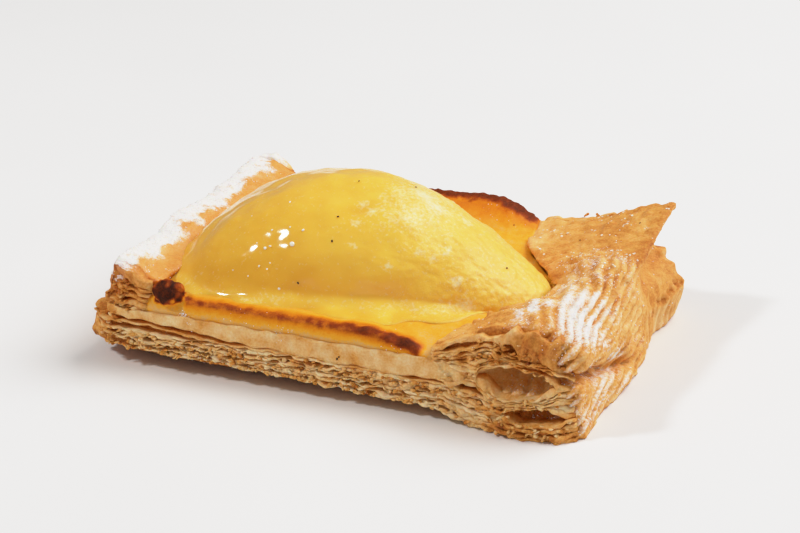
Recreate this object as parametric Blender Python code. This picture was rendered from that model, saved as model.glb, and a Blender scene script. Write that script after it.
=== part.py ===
"""Pear tart: a slice of puff pastry whose two ends are folded over a bed of
baked custard, with one pear half lying on the custard between the folds.

The tart lies on z = 0 with its long side along X. The near side, at -Y, and
the far side are cut, so the pastry's leaves show there. The left end, at -X,
and the right end are folds. Every length in this script is in millimetres,
and the meshes are scaled to metres when they are made.
"""

import math
from functools import partial

import bmesh
import bpy
from mathutils import Vector, noise

METRES_PER_MM = 0.001
NEAR = -1
FAR = 1

# The slice of pastry, seen from above.
LEFT_END = -69.2
RIGHT_END = 61.6
NEAR_SIDE = -43.0
FAR_SIDE = 44.5
CORNER_ROUNDING = 1.5
FOOT_BULGE = 2.8
FOOT_BULGE_X = 47.0

# The floor, and how far its underside bows up off the table.
FLOOR_TOP = 15.0
NEAR_SIDE_LIFT = 3.4
NEAR_LIFT_DEPTH = 17.0
LEFT_CORNER_LIFT = 1.3
LEFT_END_LIFT = 0.8

# The left fold, which leans inwards as it rises.
LEFT_FOLD_TOP = 26.6
LEFT_FOLD_EDGE = -50.0
LEFT_FOLD_SLOPE = 3.4
LEFT_LEAN = 6.1
LEFT_SHOULDER = 2.0
LEFT_FOOT = 1.6

# The right fold: two rolls at the near side, a lobe and a lifted corner at the far one.
RIGHT_FOLD_TOP = 27.0
RIGHT_FOLD_EDGE = 21.5
RIGHT_FOLD_EDGE_HEIGHT = 17.4
NOTCH_DEPTH = 20.5
NOTCH_HALF_WIDTH = 22.0
PEAR_TIP_Y = -6.0
LOWER_ROLL_X = 61.8
UPPER_ROLL_X = 60.6
ROLL_DROP = 4.2
CREASE_HEIGHT = 15.0
CREASE_FALL = 4.6
CREASE_DEPTH = 1.9
LOBE_X = 60.4
LOBE_HEIGHT = 8.5
LOBE_SWELL = 2.8
LOBE_RECESS = 7.0
LIP_X = 59.4
PEAK_RISE = 5.6
PLEAT_CENTRE = Vector((51.5, -7.0))
PLEAT_RADIUS = 9.0
PLEAT_HEIGHT = 1.5

# The leaves of dough that show on the cut sides. Each runs from its first to
# its second share of the height of the floor or of the fold. The floor's
# leaves part towards the left end, where the second pair of shares holds.
FLOOR_LEAVES = (
    ((0.02, 0.13), (0.02, 0.15)),
    ((0.17, 0.30), (0.19, 0.33)),
    ((0.34, 0.46), (0.38, 0.50)),
    ((0.48, 0.53), (0.60, 0.66)),
    ((0.59, 1.00), (0.78, 1.00)),
)
FOLD_LEAVES = ((0.0, 0.34), (0.42, 0.70), (0.78, 1.0))
LEAF_RAGGEDNESS = 1.3
LEAF_WAVE = 0.16
LEAF_TAPER = 0.22
LEAF_BURIED = 5.0
LEAF_STEPS = {NEAR: 2.7, FAR: 5.0}
CORE_INSET = 2.6
FOLD_CORE_INSET = 3.0
FOLD_CORE_SUNK = 1.5
SKIN_THICKNESS = 1.7
SKIN_CLEARANCE = 0.6

# The bubbles in the near right corner and the crack beside them.
BIG_BUBBLE = (Vector((45.6, -47.0, 12.4)), Vector((10.8, 17.0, 4.0)))
SIDE_BUBBLE = (Vector((37.6, -47.0, 9.4)), Vector((6.0, 10.0, 1.3)))
LOW_BUBBLE = (Vector((51.0, -47.0, 6.0)), Vector((6.4, 12.0, 2.4)))
CRACK_START = Vector((54.0, -50.0))
CRACK_SIZE = Vector((14.0, 36.0))
CRACK_OPENING = 2.2

# The custard and its two browned ridges.
CUSTARD_BOTTOM = 15.35
CUSTARD_LEFT = -53.5
CUSTARD_NEAR = -42.4
CUSTARD_FAR = 43.4
CUSTARD_LEVEL = 19.0
CUSTARD_LAP = 1.2
NEAR_RIDGE_TOP = 21.0
NEAR_RIDGE_INSET = 2.2
NEAR_RIDGE_WIDTH = 3.9
NEAR_RIDGE_END = 20.5
FAR_RIDGE_TOP = 27.4
FAR_RIDGE_INSET = 4.6
FAR_RIDGE_WIDTH = 6.5
FAR_RIDGE_END = 25.0
BLISTER = (Vector((-46.0, -40.6, 20.9)), Vector((4.4, 3.2, 3.1)))
BLISTER_UNEVENNESS = 0.45

# The pear half, its wide end to the left.
PEAR_CENTRE = Vector((-7.4, -5.1, 19.1))
PEAR_HALF_LENGTH = 47.9
PEAR_HALF_WIDTH = 26.0
PEAR_HEIGHT = 25.2
PEAR_SINK = 2.0
PEAR_WIDTH_TAPER = (0.47, -0.40)
PEAR_HEIGHT_TAPER = (0.17, 0.50)
HOLLOW_PLACE = Vector((-9.0, -14.0))
HOLLOW_RADII = Vector((7.5, 4.6))
HOLLOW_DEPTH = 1.7

# Meshes that touch keep this gap.
GAP = 0.35

# Vertices this close, in metres, count as one.
SAME_POINT = 2e-6

# Edges that turn more than this are drawn sharp.
SHARP_ANGLE = math.radians(35.0)


def ramp(start, end, value):
    """0 before start and 1 past end, with a smooth rise between them."""
    share = min(1.0, max(0.0, (value - start) / (end - start)))
    return share * share * (3.0 - 2.0 * share)


def bell(centre, width, value):
    """1 at the centre, falling to nothing a few widths away."""
    return math.exp(-(((value - centre) / width) ** 2))


def mix(first, second, share):
    return first + (second - first) * share


def ripple(along, lane, length=1.0):
    """Smooth unevenness from about -1 to 1, with waves of this length, different in each lane."""
    return 1.6 * noise.noise(Vector((along / length, lane * 7.31, lane * 1.93)))


# The outline and the heights of the pastry


def underside(x, y):
    """The tart bows up a little at its near side and more at its near left corner."""
    near = ramp(NEAR_SIDE + NEAR_LIFT_DEPTH, NEAR_SIDE, y)
    lift = NEAR_SIDE_LIFT * ramp(36.0, 24.0, x) + LEFT_CORNER_LIFT * ramp(-42.0, LEFT_END, x)
    return near * lift + LEFT_END_LIFT * ramp(-54.0, LEFT_END, x)


def corner(x, reach):
    """How far x is into the left or the right corner, which begins this far from the end."""
    return max(ramp(RIGHT_END - reach, RIGHT_END, x), ramp(LEFT_END + reach, LEFT_END, x))


def near_side(x, z):
    """The near cut, which bulges at the foot of the right end."""
    bulge = FOOT_BULGE * bell(FOOT_BULGE_X, 12.0, x) * ramp(14.0, 2.0, z)
    return NEAR_SIDE - bulge + CORNER_ROUNDING * corner(x, 8.0) ** 2


def far_side(x):
    return FAR_SIDE + 0.8 * ripple(x, 3.0, 24.0) - CORNER_ROUNDING * corner(x, 9.0) ** 2


def left_end(y, z):
    """The left fold leans inwards as it rises and rounds over at its top."""
    foot = LEFT_FOOT * ramp(5.0, 0.0, z)
    lean = LEFT_LEAN * ramp(6.0, 22.0, z)
    shoulder = LEFT_SHOULDER * ramp(LEFT_FOLD_TOP - 5.0, LEFT_FOLD_TOP, z) ** 2
    return LEFT_END + foot + lean + shoulder + 0.9 * ripple(y, 5.0, 21.0)


def crease_height(y):
    """The crease between the two rolls falls away from the near side."""
    return CREASE_HEIGHT - CREASE_FALL * ramp(NEAR_SIDE, -12.0, y)


def right_end(y, z):
    """Two stacked rolls at the near side turn into a low lobe under the lifted corner at the back."""
    lower_roll = LOWER_ROLL_X - 2.4 * ramp(1.0, 13.0, z)
    upper_roll = UPPER_ROLL_X - ROLL_DROP * ramp(19.0, RIGHT_FOLD_TOP + 0.5, z) ** 1.5
    crease = CREASE_DEPTH * bell(crease_height(y), 1.7, z) * ramp(10.0, -14.0, y)
    rolls = mix(lower_roll, upper_roll, ramp(13.0, 16.0, z)) - crease
    swell = LOBE_SWELL * bell(LOBE_HEIGHT, 4.6, z)
    recess = LOBE_RECESS * ramp(12.5, 18.5, z) - 2.0 * ramp(20.0, 26.0, z)
    notch = 1.8 * bell(24.0, 5.0, y) * ramp(13.0, 3.0, z)
    return mix(rolls, LOBE_X + swell - recess, ramp(6.0, 34.0, y)) - notch + 0.7 * ripple(y, 9.0, 15.0)


def right_fold_edge(y):
    """The free edge of the right fold, pushed back where it meets the pear's tip."""
    return RIGHT_FOLD_EDGE + NOTCH_DEPTH * bell(PEAR_TIP_Y, NOTCH_HALF_WIDTH, y)


def left_fold_top(x, y):
    slope = LEFT_FOLD_SLOPE * ramp(-58.0, LEFT_FOLD_EDGE, x)
    return LEFT_FOLD_TOP - slope + 1.2 * ramp(10.0, 40.0, y) + 0.7 * ripple(y + x, 2.0, 13.0)


def right_fold_top(x, y):
    """The right fold rises from its free edge and rolls over at the right."""
    edge = right_fold_edge(y)
    share = (x - edge) / (LIP_X - edge)
    edge_height = RIGHT_FOLD_EDGE_HEIGHT + 3.2 * ramp(NEAR_SIDE, -20.0, y)
    crest = RIGHT_FOLD_TOP - 1.4 * ramp(4.0, 14.0, y) + 0.5 * ripple(y, 4.0, 12.0)
    near_rise = mix(edge_height, crest, ramp(-0.15, 0.62, share))
    far_rise = mix(edge_height, crest, max(0.0, share))
    roll = ROLL_DROP * ramp(0.80, 1.02, share) * ramp(16.0, -6.0, y)
    return mix(near_rise, far_rise, ramp(4.0, 34.0, y)) - roll + 0.5 * ripple(x * 0.8 + y, 6.0, 9.0)


def right_skin_top(x, y):
    """The outer leaf lifts to a peak at its far corner, and an arched pleat lies beside the pear's tip."""
    peak = PEAK_RISE * ramp(8.0, 42.0, y) * ramp(32.0, 60.0, x)
    off_pleat = math.hypot(x - PLEAT_CENTRE.x, y - PLEAT_CENTRE.y)
    pleat = PLEAT_HEIGHT * bell(PLEAT_RADIUS, 2.2, off_pleat) * ramp(-14.0, -6.0, y)
    return right_fold_top(x, y) + peak + pleat


# Building blocks


def as_object(name, mesh_builder):
    bmesh.ops.recalc_face_normals(mesh_builder, faces=mesh_builder.faces)
    mesh = bpy.data.meshes.new(name)
    mesh_builder.to_mesh(mesh)
    mesh_builder.free()
    made = bpy.data.objects.new(name, mesh)
    bpy.context.scene.collection.objects.link(made)
    return made


def block(name, columns, rows, floors, place):
    """A closed block, cut into columns and rows on its top and bottom and into floors up its sides.

    place(u, row, w) gives the position of each vertex: u runs from 0 to 1 along
    the columns, row counts the rows and w runs from 0 at the bottom to 1.
    """
    mesh_builder = bmesh.new()
    bmesh.ops.create_grid(mesh_builder, x_segments=columns, y_segments=rows, size=1.0)
    for vertex in mesh_builder.verts:
        vertex.co = ((vertex.co.x + 1.0) / 2.0, round((vertex.co.y + 1.0) / 2.0 * rows), 0.0)
    cap = list(mesh_builder.faces)
    for floor in range(floors):
        grown = bmesh.ops.extrude_face_region(mesh_builder, geom=cap)["geom"]
        if floor:
            bmesh.ops.delete(mesh_builder, geom=cap, context="FACES")
        cap = [item for item in grown if isinstance(item, bmesh.types.BMFace)]
        for vertex in {vertex for face in cap for vertex in face.verts}:
            vertex.co.z = (floor + 1) / floors
    for vertex in mesh_builder.verts:
        u, row, w = vertex.co
        vertex.co = Vector(place(u, round(row), w)) * METRES_PER_MM
    return as_object(name, mesh_builder)


def ball(name, centre, radii, segments, rings, unevenness=0.07):
    """A round lump, or the cutter for a round hollow."""
    mesh_builder = bmesh.new()
    bmesh.ops.create_uvsphere(mesh_builder, u_segments=segments, v_segments=rings, radius=1.0)
    for vertex in mesh_builder.verts:
        uneven = 1.0 + unevenness * noise.noise(2.4 * vertex.co + centre)
        vertex.co = (centre + vertex.co * uneven * Vector(radii)) * METRES_PER_MM
    return as_object(name, mesh_builder)


def apply_boolean(target, tools, operation):
    """Joins the tools to the target, or cuts them out of it, and removes them."""
    helpers = bpy.data.collections.new(f"{target.name} tools")
    bpy.context.scene.collection.children.link(helpers)
    for tool in tools:
        helpers.objects.link(tool)
        bpy.context.scene.collection.objects.unlink(tool)
    modifier = target.modifiers.new(operation, "BOOLEAN")
    modifier.operation = operation
    modifier.operand_type = "COLLECTION"
    modifier.collection = helpers
    modifier.solver = "MANIFOLD"
    bpy.context.view_layer.update()
    graph = bpy.context.evaluated_depsgraph_get()
    result = bpy.data.meshes.new_from_object(target.evaluated_get(graph))
    target.modifiers.clear()
    target.data = result
    for tool in tools:
        bpy.data.objects.remove(tool)
    bpy.data.collections.remove(helpers)


def keep_largest_shell(target):
    """Fills the hollows that fusing has sealed and drops the scraps that it has cut loose."""
    mesh_builder = bmesh.new()
    mesh_builder.from_mesh(target.data)
    bmesh.ops.remove_doubles(mesh_builder, verts=mesh_builder.verts, dist=SAME_POINT)
    bmesh.ops.triangulate(mesh_builder, faces=mesh_builder.faces)
    shells = []
    waiting = set(mesh_builder.faces)
    while waiting:
        front = [waiting.pop()]
        shell = set(front)
        while front:
            seams = [edge for edge in front.pop().edges if len(edge.link_faces) == 2]
            nearby = {face for edge in seams for face in edge.link_faces} - shell
            shell |= nearby
            front.extend(nearby)
        waiting -= shell
        shells.append(shell)
    shells.sort(key=len)
    loose = [face for shell in shells[:-1] for face in shell]
    bmesh.ops.delete(mesh_builder, geom=loose, context="FACES")
    mesh_builder.to_mesh(target.data)
    mesh_builder.free()


# The pastry


def leaf(name, side, ends, low, high, lane):
    """One leaf of dough along the near or the far side, with a torn edge.

    ends are its ends along X, low and high the heights of its faces at x and y.
    """
    cut_y = NEAR_SIDE if side == NEAR else FAR_SIDE
    columns = max(2, round((ends[1] - ends[0]) / LEAF_STEPS[side]))

    def place(u, row, w):
        x = mix(*ends, u)
        thickness = high(x, cut_y) - low(x, cut_y)
        raggedness = LEAF_RAGGEDNESS * (1.0 - 0.75 * ramp(1.5, 4.0, thickness))
        tear = max(-0.5, raggedness * ripple(x, lane, 3.9) + 0.5 * ripple(x, lane + 3.0, 14.0))
        tear = mix(tear, CORE_INSET - 0.4, corner(x, 7.0))
        cut = near_side(x, low(x, cut_y)) if side == NEAR else far_side(x)
        y = cut - side * (LEAF_BURIED if row == 1 else tear)
        z = mix(low(x, y), high(x, y), w)
        middle = mix(low(x, y), high(x, y), 0.5)
        z = mix(z, middle, 0.0 if row == 1 else LEAF_TAPER)
        return x, y, z + LEAF_WAVE * ripple(x, lane + 7.0, 7.0)

    return block(name, columns, 1, 1, place)


def floor_leaf_height(usual, parted, x, y):
    share = mix(usual, parted, ramp(-20.0, -58.0, x))
    return mix(underside(x, y), FLOOR_TOP, share)


def floor_leaves():
    """The leaves of the tart's floor, from the left end to the right end."""
    made = []
    for number, (usual, parted) in enumerate(FLOOR_LEAVES):
        low, high = (partial(floor_leaf_height, *shares) for shares in zip(usual, parted, strict=True))
        ends = (left_end(NEAR_SIDE, FLOOR_TOP * usual[0]) + 1.0, RIGHT_END - 1.8)
        for side in (NEAR, FAR):
            made.append(leaf("floor leaf", side, ends, low, high, 20.0 + 5.0 * number + side))
    return made


def fold_leaf_height(top, share, x, y):
    return mix(FLOOR_TOP - 0.1, top(x, y) - SKIN_THICKNESS - SKIN_CLEARANCE, share)


def fold_leaves(start, end, top):
    """The leaves between the floor and the outer leaf of a fold."""
    made = []
    for number, shares in enumerate(FOLD_LEAVES):
        low, high = (partial(fold_leaf_height, top, share) for share in shares)
        level = mix(FLOOR_TOP, LEFT_FOLD_TOP, shares[0])
        for side, cut_y in ((NEAR, NEAR_SIDE), (FAR, FAR_SIDE)):
            ends = sorted((start(cut_y, level), end(cut_y, level)))
            made.append(leaf("fold leaf", side, ends, low, high, 60.0 + 5.0 * number + side + ends[0]))
    return made


def core(name, columns, rows, inset, ends, faces):
    """The crumb behind the leaves, which holds them together.

    ends are functions of y and z, faces the heights of its bottom and top at x and y.
    """
    start, end = ends
    bottom, top = faces

    def place(u, row, w):
        y = mix(NEAR_SIDE + inset, FAR_SIDE - inset, row / rows)
        x = mix(start(y, FLOOR_TOP), end(y, FLOOR_TOP), u)
        z = mix(bottom(x, y), top(x, y), w)
        x = mix(start(y, z), end(y, z), u)
        y = mix(near_side(x, z) + inset, far_side(x) - inset, row / rows)
        return x, y, z

    return block(name, columns, rows, 3, place)


def skin(name, columns, rows, ends, top):
    """The baked outer leaf of a fold, which curls down at the cut sides."""
    start, end = ends
    level = LEFT_FOLD_TOP - 1.5

    def place(u, row, w):
        share = row / rows
        y = mix(NEAR_SIDE, FAR_SIDE, share)
        x = mix(start(y, level), end(y, level), u)
        tear = 0.9 * ripple(x, 130.0, 5.0)
        y = mix(near_side(x, level) + 0.2 + tear, far_side(x) - 1.6 + tear, share)
        x = mix(start(y, level), end(y, level), u)
        curl = 0.9 * (ramp(0.05, 0.0, share) + ramp(0.95, 1.0, share))
        thickness = SKIN_THICKNESS * (1.0 - 0.35 * ramp(0.12, 0.0, u))
        return x, y, top(x, y) - curl - (1.0 - w) * thickness

    return block(name, columns, rows, 1, place)


def core_faces(top, sunk):
    """A fold's core starts inside the floor and ends just inside the skin."""
    return (lambda x, y: FLOOR_TOP - FOLD_CORE_SUNK, lambda x, y: top(x, y) - sunk)


def left_fold():
    def start(y, z):
        return LEFT_FOLD_EDGE

    def skin_start(y, z):
        return LEFT_FOLD_EDGE + 1.5 + 1.3 * ripple(y, 14.0, 8.0)

    def core_end(y, z):
        return left_end(y, z) + 0.3

    def leaf_end(y, z):
        return left_end(y, z) + 1.2

    faces = core_faces(left_fold_top, 0.7)
    return [
        *fold_leaves(start, leaf_end, left_fold_top),
        core("left fold core", 4, 14, FOLD_CORE_INSET, (start, core_end), faces),
        skin("left fold skin", 4, 18, (skin_start, left_end), left_fold_top),
    ]


def right_fold():
    def start(y, z):
        return right_fold_edge(y) + 3.4

    def skin_start(y, z):
        return right_fold_edge(y)

    def core_end(y, z):
        return right_end(y, z) - 0.3

    def leaf_end(y, z):
        return right_end(y, z) - 1.4

    def lip(y, z):
        return mix(right_end(y, z) + 0.4, LIP_X, ramp(-2.0, 12.0, y))

    faces = core_faces(right_fold_top, 1.2)
    return [
        *fold_leaves(start, leaf_end, right_fold_top),
        core("right fold core", 9, 16, FOLD_CORE_INSET, (start, core_end), faces),
        skin("right fold skin", 15, 24, (skin_start, lip), right_skin_top),
    ]


def crack():
    """The wedge that parts the two rolls beside the bubbles."""
    rows = 4

    def place(u, row, w):
        x = CRACK_START.x + CRACK_SIZE.x * u
        y = CRACK_START.y + CRACK_SIZE.y * row / rows
        opening = CRACK_OPENING * (0.1 + 0.9 * u) * ramp(-8.0, -26.0, y)
        return x, y, crease_height(y) + 0.4 + (w - 0.5) * opening

    return block("crack", 4, rows, 1, place)


def pastry_body():
    faces = (underside, lambda x, y: FLOOR_TOP - 0.2)
    body = core("puff_pastry", 20, 10, CORE_INSET, (left_end, right_end), faces)
    apply_boolean(body, floor_leaves() + left_fold() + right_fold(), "UNION")
    return body


# The filling


def custard_top(x, y):
    """A level bed with a ridge along each cut side, where the custard rose and browned."""
    near_ridge = (NEAR_RIDGE_TOP - CUSTARD_LEVEL) * bell(CUSTARD_NEAR + NEAR_RIDGE_INSET, NEAR_RIDGE_WIDTH, y)
    near_ridge *= 1.0 - 0.9 * ramp(2.0, NEAR_RIDGE_END, x) + 0.12 * ripple(x, 17.0, 9.0)
    far_ridge = (FAR_RIDGE_TOP - CUSTARD_LEVEL) * bell(CUSTARD_FAR - FAR_RIDGE_INSET, FAR_RIDGE_WIDTH, y)
    far_ridge *= 1.0 - 0.7 * ramp(12.0, FAR_RIDGE_END, x) - 0.35 * ramp(-10.0, -45.0, x)
    end = 2.6 * ramp(NEAR_RIDGE_END - 5.0, NEAR_RIDGE_END + 2.0, x) * ramp(-30.0, CUSTARD_NEAR, y)
    return CUSTARD_LEVEL + near_ridge + far_ridge - end + 0.25 * ripple(x + y, 19.0, 7.0)


def custard_body(grow=0.0):
    """The custard, or with grow the same shape that much larger all round.

    Its rows are closest together at the cut sides, where its upper edge is rounded.
    """
    rows = 14
    middle = mix(CUSTARD_NEAR, CUSTARD_FAR, 0.5)
    half = (CUSTARD_FAR - CUSTARD_NEAR) / 2.0

    def place(u, row, w):
        turn = -math.cos(math.pi * row / rows)
        across = math.copysign(abs(turn) ** 0.8, turn)
        lean = 0.9 * math.sin(0.5 * math.pi * w) ** 4 * abs(across) ** 6
        y = middle + across * (half + grow - lean)
        x = mix(CUSTARD_LEFT - grow, right_fold_edge(y) + CUSTARD_LAP + grow, u)
        rounding = 1.0 - 0.34 * abs(across) ** 14
        top = mix(CUSTARD_BOTTOM, custard_top(x, y), rounding) + grow
        return x, y, mix(CUSTARD_BOTTOM - grow, top, w)

    return block("custard", 22, rows, 3, place)


def blister(grow=0.0):
    """The burst, burnt blister at the left end of the near ridge."""
    centre, radii = BLISTER
    return ball("blister", centre, radii + Vector((grow, grow, grow)), 12, 8, BLISTER_UNEVENNESS)


def pear_body(grow=0.0):
    """The pear half: a ball drawn out along X, slimmer towards its stem end and flat below."""
    mesh_builder = bmesh.new()
    bmesh.ops.create_icosphere(mesh_builder, subdivisions=4, radius=1.0)
    for vertex in mesh_builder.verts:
        along, across, up = vertex.co
        width = 1.0 - PEAR_WIDTH_TAPER[0] * along - PEAR_WIDTH_TAPER[1] * along**2
        height = 1.0 - PEAR_HEIGHT_TAPER[0] * along - PEAR_HEIGHT_TAPER[1] * along**2
        x = PEAR_CENTRE.x + (PEAR_HALF_LENGTH + grow) * along
        y = PEAR_CENTRE.y + (PEAR_HALF_WIDTH * width + grow) * across
        z = PEAR_CENTRE.z + (PEAR_HEIGHT * height + grow) * up
        off_hollow = Vector(((x - HOLLOW_PLACE.x) / HOLLOW_RADII.x, (y - HOLLOW_PLACE.y) / HOLLOW_RADII.y))
        if up > 0.0:
            z -= HOLLOW_DEPTH * math.exp(-off_hollow.length_squared)
        z = max(z, PEAR_CENTRE.z - PEAR_SINK - grow)
        vertex.co = Vector((x, y, z)) * METRES_PER_MM
    return as_object("pear_half", mesh_builder)


# Colours and the whole


def paint(target, name, colour, roughness):
    """Gives a sub-part its own plain material, and smooth shading between its sharp edges."""
    material = bpy.data.materials.new(name)
    material.use_nodes = True
    shader = material.node_tree.nodes["Principled BSDF"]
    shader.inputs["Base Color"].default_value = (*colour, 1.0)
    shader.inputs["Roughness"].default_value = roughness
    shader.inputs["Metallic"].default_value = 0.0
    target.data.materials.clear()
    target.data.materials.append(material)
    target.data.shade_smooth()
    target.data.set_sharp_from_angle(angle=SHARP_ANGLE)


def main():
    for old in list(bpy.data.objects):
        bpy.data.objects.remove(old)
    pastry = pastry_body()
    custard = custard_body()
    apply_boolean(custard, [blister()], "UNION")
    apply_boolean(custard, [pear_body(GAP)], "DIFFERENCE")
    custard.name = "custard_bed"
    hollows = [
        ball("big bubble", *BIG_BUBBLE, 20, 10),
        ball("side bubble", *SIDE_BUBBLE, 12, 6),
        ball("low bubble", *LOW_BUBBLE, 16, 8),
        crack(),
    ]
    apply_boolean(pastry, [*hollows, custard_body(GAP), blister(GAP), pear_body(GAP)], "DIFFERENCE")
    pear = pear_body()
    keep_largest_shell(custard)
    keep_largest_shell(pastry)
    paint(pastry, "baked puff pastry", (0.62, 0.36, 0.15), 0.7)
    paint(custard, "baked custard", (0.72, 0.33, 0.05), 0.4)
    paint(pear, "glazed pear", (0.86, 0.55, 0.13), 0.15)
    whole = bpy.data.collections.new("pear_tart")
    bpy.context.scene.collection.children.link(whole)
    for piece in (pastry, custard, pear):
        bpy.context.scene.collection.objects.unlink(piece)
        whole.objects.link(piece)


main()
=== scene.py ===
"""Pear tart: puff pastry with both ends folded over baked custard, and a glazed pear half.

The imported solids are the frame. Each of them is copied, refined and given the
relief that baking makes: blisters and pleats on the crust, torn leaves of dough
on the two cut sides, browned ridges on the custard, pitted flesh under the
pear's glaze. Flakes, icing sugar, sugar crystals and specks lie on top.

Places and sizes are in millimetres on the frame's own axes: the near cut side
faces -Y, the pear's stem end points to +X and the tart rests on z = 0. Meshes
are scaled to metres when they are made.
"""

import logging
import math
import random
from collections.abc import Callable, Iterable, Sequence
from dataclasses import dataclass, field
from enum import Enum

import bmesh
import bpy
import numpy as np
from mathutils import Matrix, Vector, noise
from mathutils.bvhtree import BVHTree


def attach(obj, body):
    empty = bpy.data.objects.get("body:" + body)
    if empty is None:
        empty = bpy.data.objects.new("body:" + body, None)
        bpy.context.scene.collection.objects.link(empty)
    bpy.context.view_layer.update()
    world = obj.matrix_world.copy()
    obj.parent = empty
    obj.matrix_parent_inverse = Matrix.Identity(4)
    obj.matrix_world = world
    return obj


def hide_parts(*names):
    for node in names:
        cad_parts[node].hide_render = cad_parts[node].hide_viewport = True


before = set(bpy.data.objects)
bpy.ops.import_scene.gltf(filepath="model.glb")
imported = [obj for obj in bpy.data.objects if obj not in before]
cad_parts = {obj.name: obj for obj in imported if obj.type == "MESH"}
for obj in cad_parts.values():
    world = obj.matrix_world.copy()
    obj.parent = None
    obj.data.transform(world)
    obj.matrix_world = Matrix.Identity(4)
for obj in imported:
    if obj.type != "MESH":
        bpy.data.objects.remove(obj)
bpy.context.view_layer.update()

LOG = logging.getLogger("pear_tart")
METRES_PER_MM = 0.001
MM_PER_METRE = 1000.0
BAKE = "bake"
Socket = bpy.types.NodeSocket
SAME_POINT_MM = 0.002

# Where rays start, well outside the solids, and where they point
ABOVE_MM = 80.0
BELOW_MM = -20.0
BESIDE_MM = 90.0
UP = (0.0, 0.0, 1.0)
DOWN = (0.0, 0.0, -1.0)


class Side(Enum):
    """The two cut sides of the slice, by the sign of the axis they face."""

    NEAR = -1
    FAR = 1


class Slot(Enum):
    """The material slots of the record."""

    PASTRY = "puff_pastry"
    CUSTARD = "custard"
    PEAR = "pear"
    SUGAR = "icing_sugar"
    CRYSTALS = "sugar_crystals"
    BURNT = "burnt_custard"
    GLAZE = "fruit_glaze"


class Seed(Enum):
    """Where each piece's random draws start."""

    FLAKES = 7
    CLUMPS = 11
    CRYSTALS = 23
    BEADS = 31
    SPECKS = 37
    CELLS = 41

    def draw(self, side: Side | None = None) -> random.Random:
        """The draws of a piece, or of its part on one side."""
        return random.Random(self.value + (side.value if side else 0))


# Numbers


def ramp(start: float, end: float, value: float) -> float:
    """0 before start and 1 past end, with a smooth rise between them."""
    share = min(1.0, max(0.0, (value - start) / (end - start)))
    return share * share * (3.0 - 2.0 * share)


def bell(centre: float, width: float, value: float) -> float:
    """1 at the centre, falling to nothing a few widths away."""
    return math.exp(-(((value - centre) / width) ** 2))


def mix(first: float, second: float, share: float) -> float:
    """The number this share of the way from the first to the second."""
    return first + (second - first) * share


def read_line(line: Sequence[tuple[float, float]], value: float) -> float:
    """The height at a place of a line through points, each a place and a height."""
    places, heights = zip(*line, strict=True)
    return float(np.interp(value, places, heights))


def clamp(value: float) -> float:
    """The value, kept between 0 and 1."""
    return min(1.0, max(0.0, value))


def grain(place: Vector, size: float, lane: float = 0.0) -> float:
    """Smooth unevenness in space.

    Args:
        place: where, in millimetres.
        size: how large its lumps are, in millimetres.
        lane: another pattern for each lane.

    Returns:
        A number from about -1 to 1.
    """
    offset = Vector((lane * 13.7, lane * -7.9, lane * 3.1))
    return 1.7 * noise.noise(place / size + offset)


def wrinkle(place: Vector, size: float, lane: float = 0.0) -> float:
    """Sharp creases between rounded ridges in space, from about -1 in a crease to 0.6 on a ridge."""
    offset = Vector((lane * 7.1, lane * 3.3, lane * -4.9))
    return 0.6 - 1.6 * max(0.0, 1.0 - 2.6 * abs(noise.noise(place / size + offset)))


def blister(place: Vector, spacing: float, lane: float = 0.0) -> float:
    """Round blisters of uneven size, one in each cell of the spacing: 1 on top of one, 0 between them."""
    offset = Vector((lane * 5.3, lane * 9.1, lane * -2.7))
    distances, points = noise.voronoi(place / spacing + offset)
    size = 0.25 + 0.35 * noise.cell(points[0] * 31.0)
    return max(0.0, 1.0 - (distances[0] / max(0.12, size)) ** 2)


# Colours and shader nodes


def to_linear(code: str) -> tuple[float, float, float, float]:
    """An sRGB hex colour as the linear colour that shaders take."""
    levels = [int(code[start:start + 2], 16) / 255.0 for start in (1, 3, 5)]
    curve = [level / 12.92 if level <= 0.04045 else ((level + 0.055) / 1.055) ** 2.4 for level in levels]
    return (*curve, 1.0)


def per_metre(size_mm: float) -> float:
    """The scale of a pattern whose lumps have this size."""
    return 1.0 / (size_mm * METRES_PER_MM)


def add_node(
    tree: bpy.types.NodeTree,
    kind: str,
    settings: dict | None = None,
    links: dict | None = None,
) -> bpy.types.Node:
    """Adds a shader node.

    Args:
        tree: the material's node tree.
        kind: the node's type.
        settings: properties and input values by name or index; "stops" fills a colour ramp.
        links: the sockets that feed its inputs, by name or index.

    Returns:
        The node.
    """
    node = tree.nodes.new(kind)
    for name, value in (settings or {}).items():
        if name == "stops":
            elements = node.color_ramp.elements
            while len(elements) < len(value):
                elements.new(0.5)
            for element, (place, code) in zip(elements, value, strict=True):
                element.position = place
                element.color = to_linear(code)
        elif isinstance(name, int) or name in node.inputs:
            node.inputs[name].default_value = value
        else:
            setattr(node, name, value)
    for name, socket in (links or {}).items():
        tree.links.new(socket, node.inputs[name])
    return node


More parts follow.
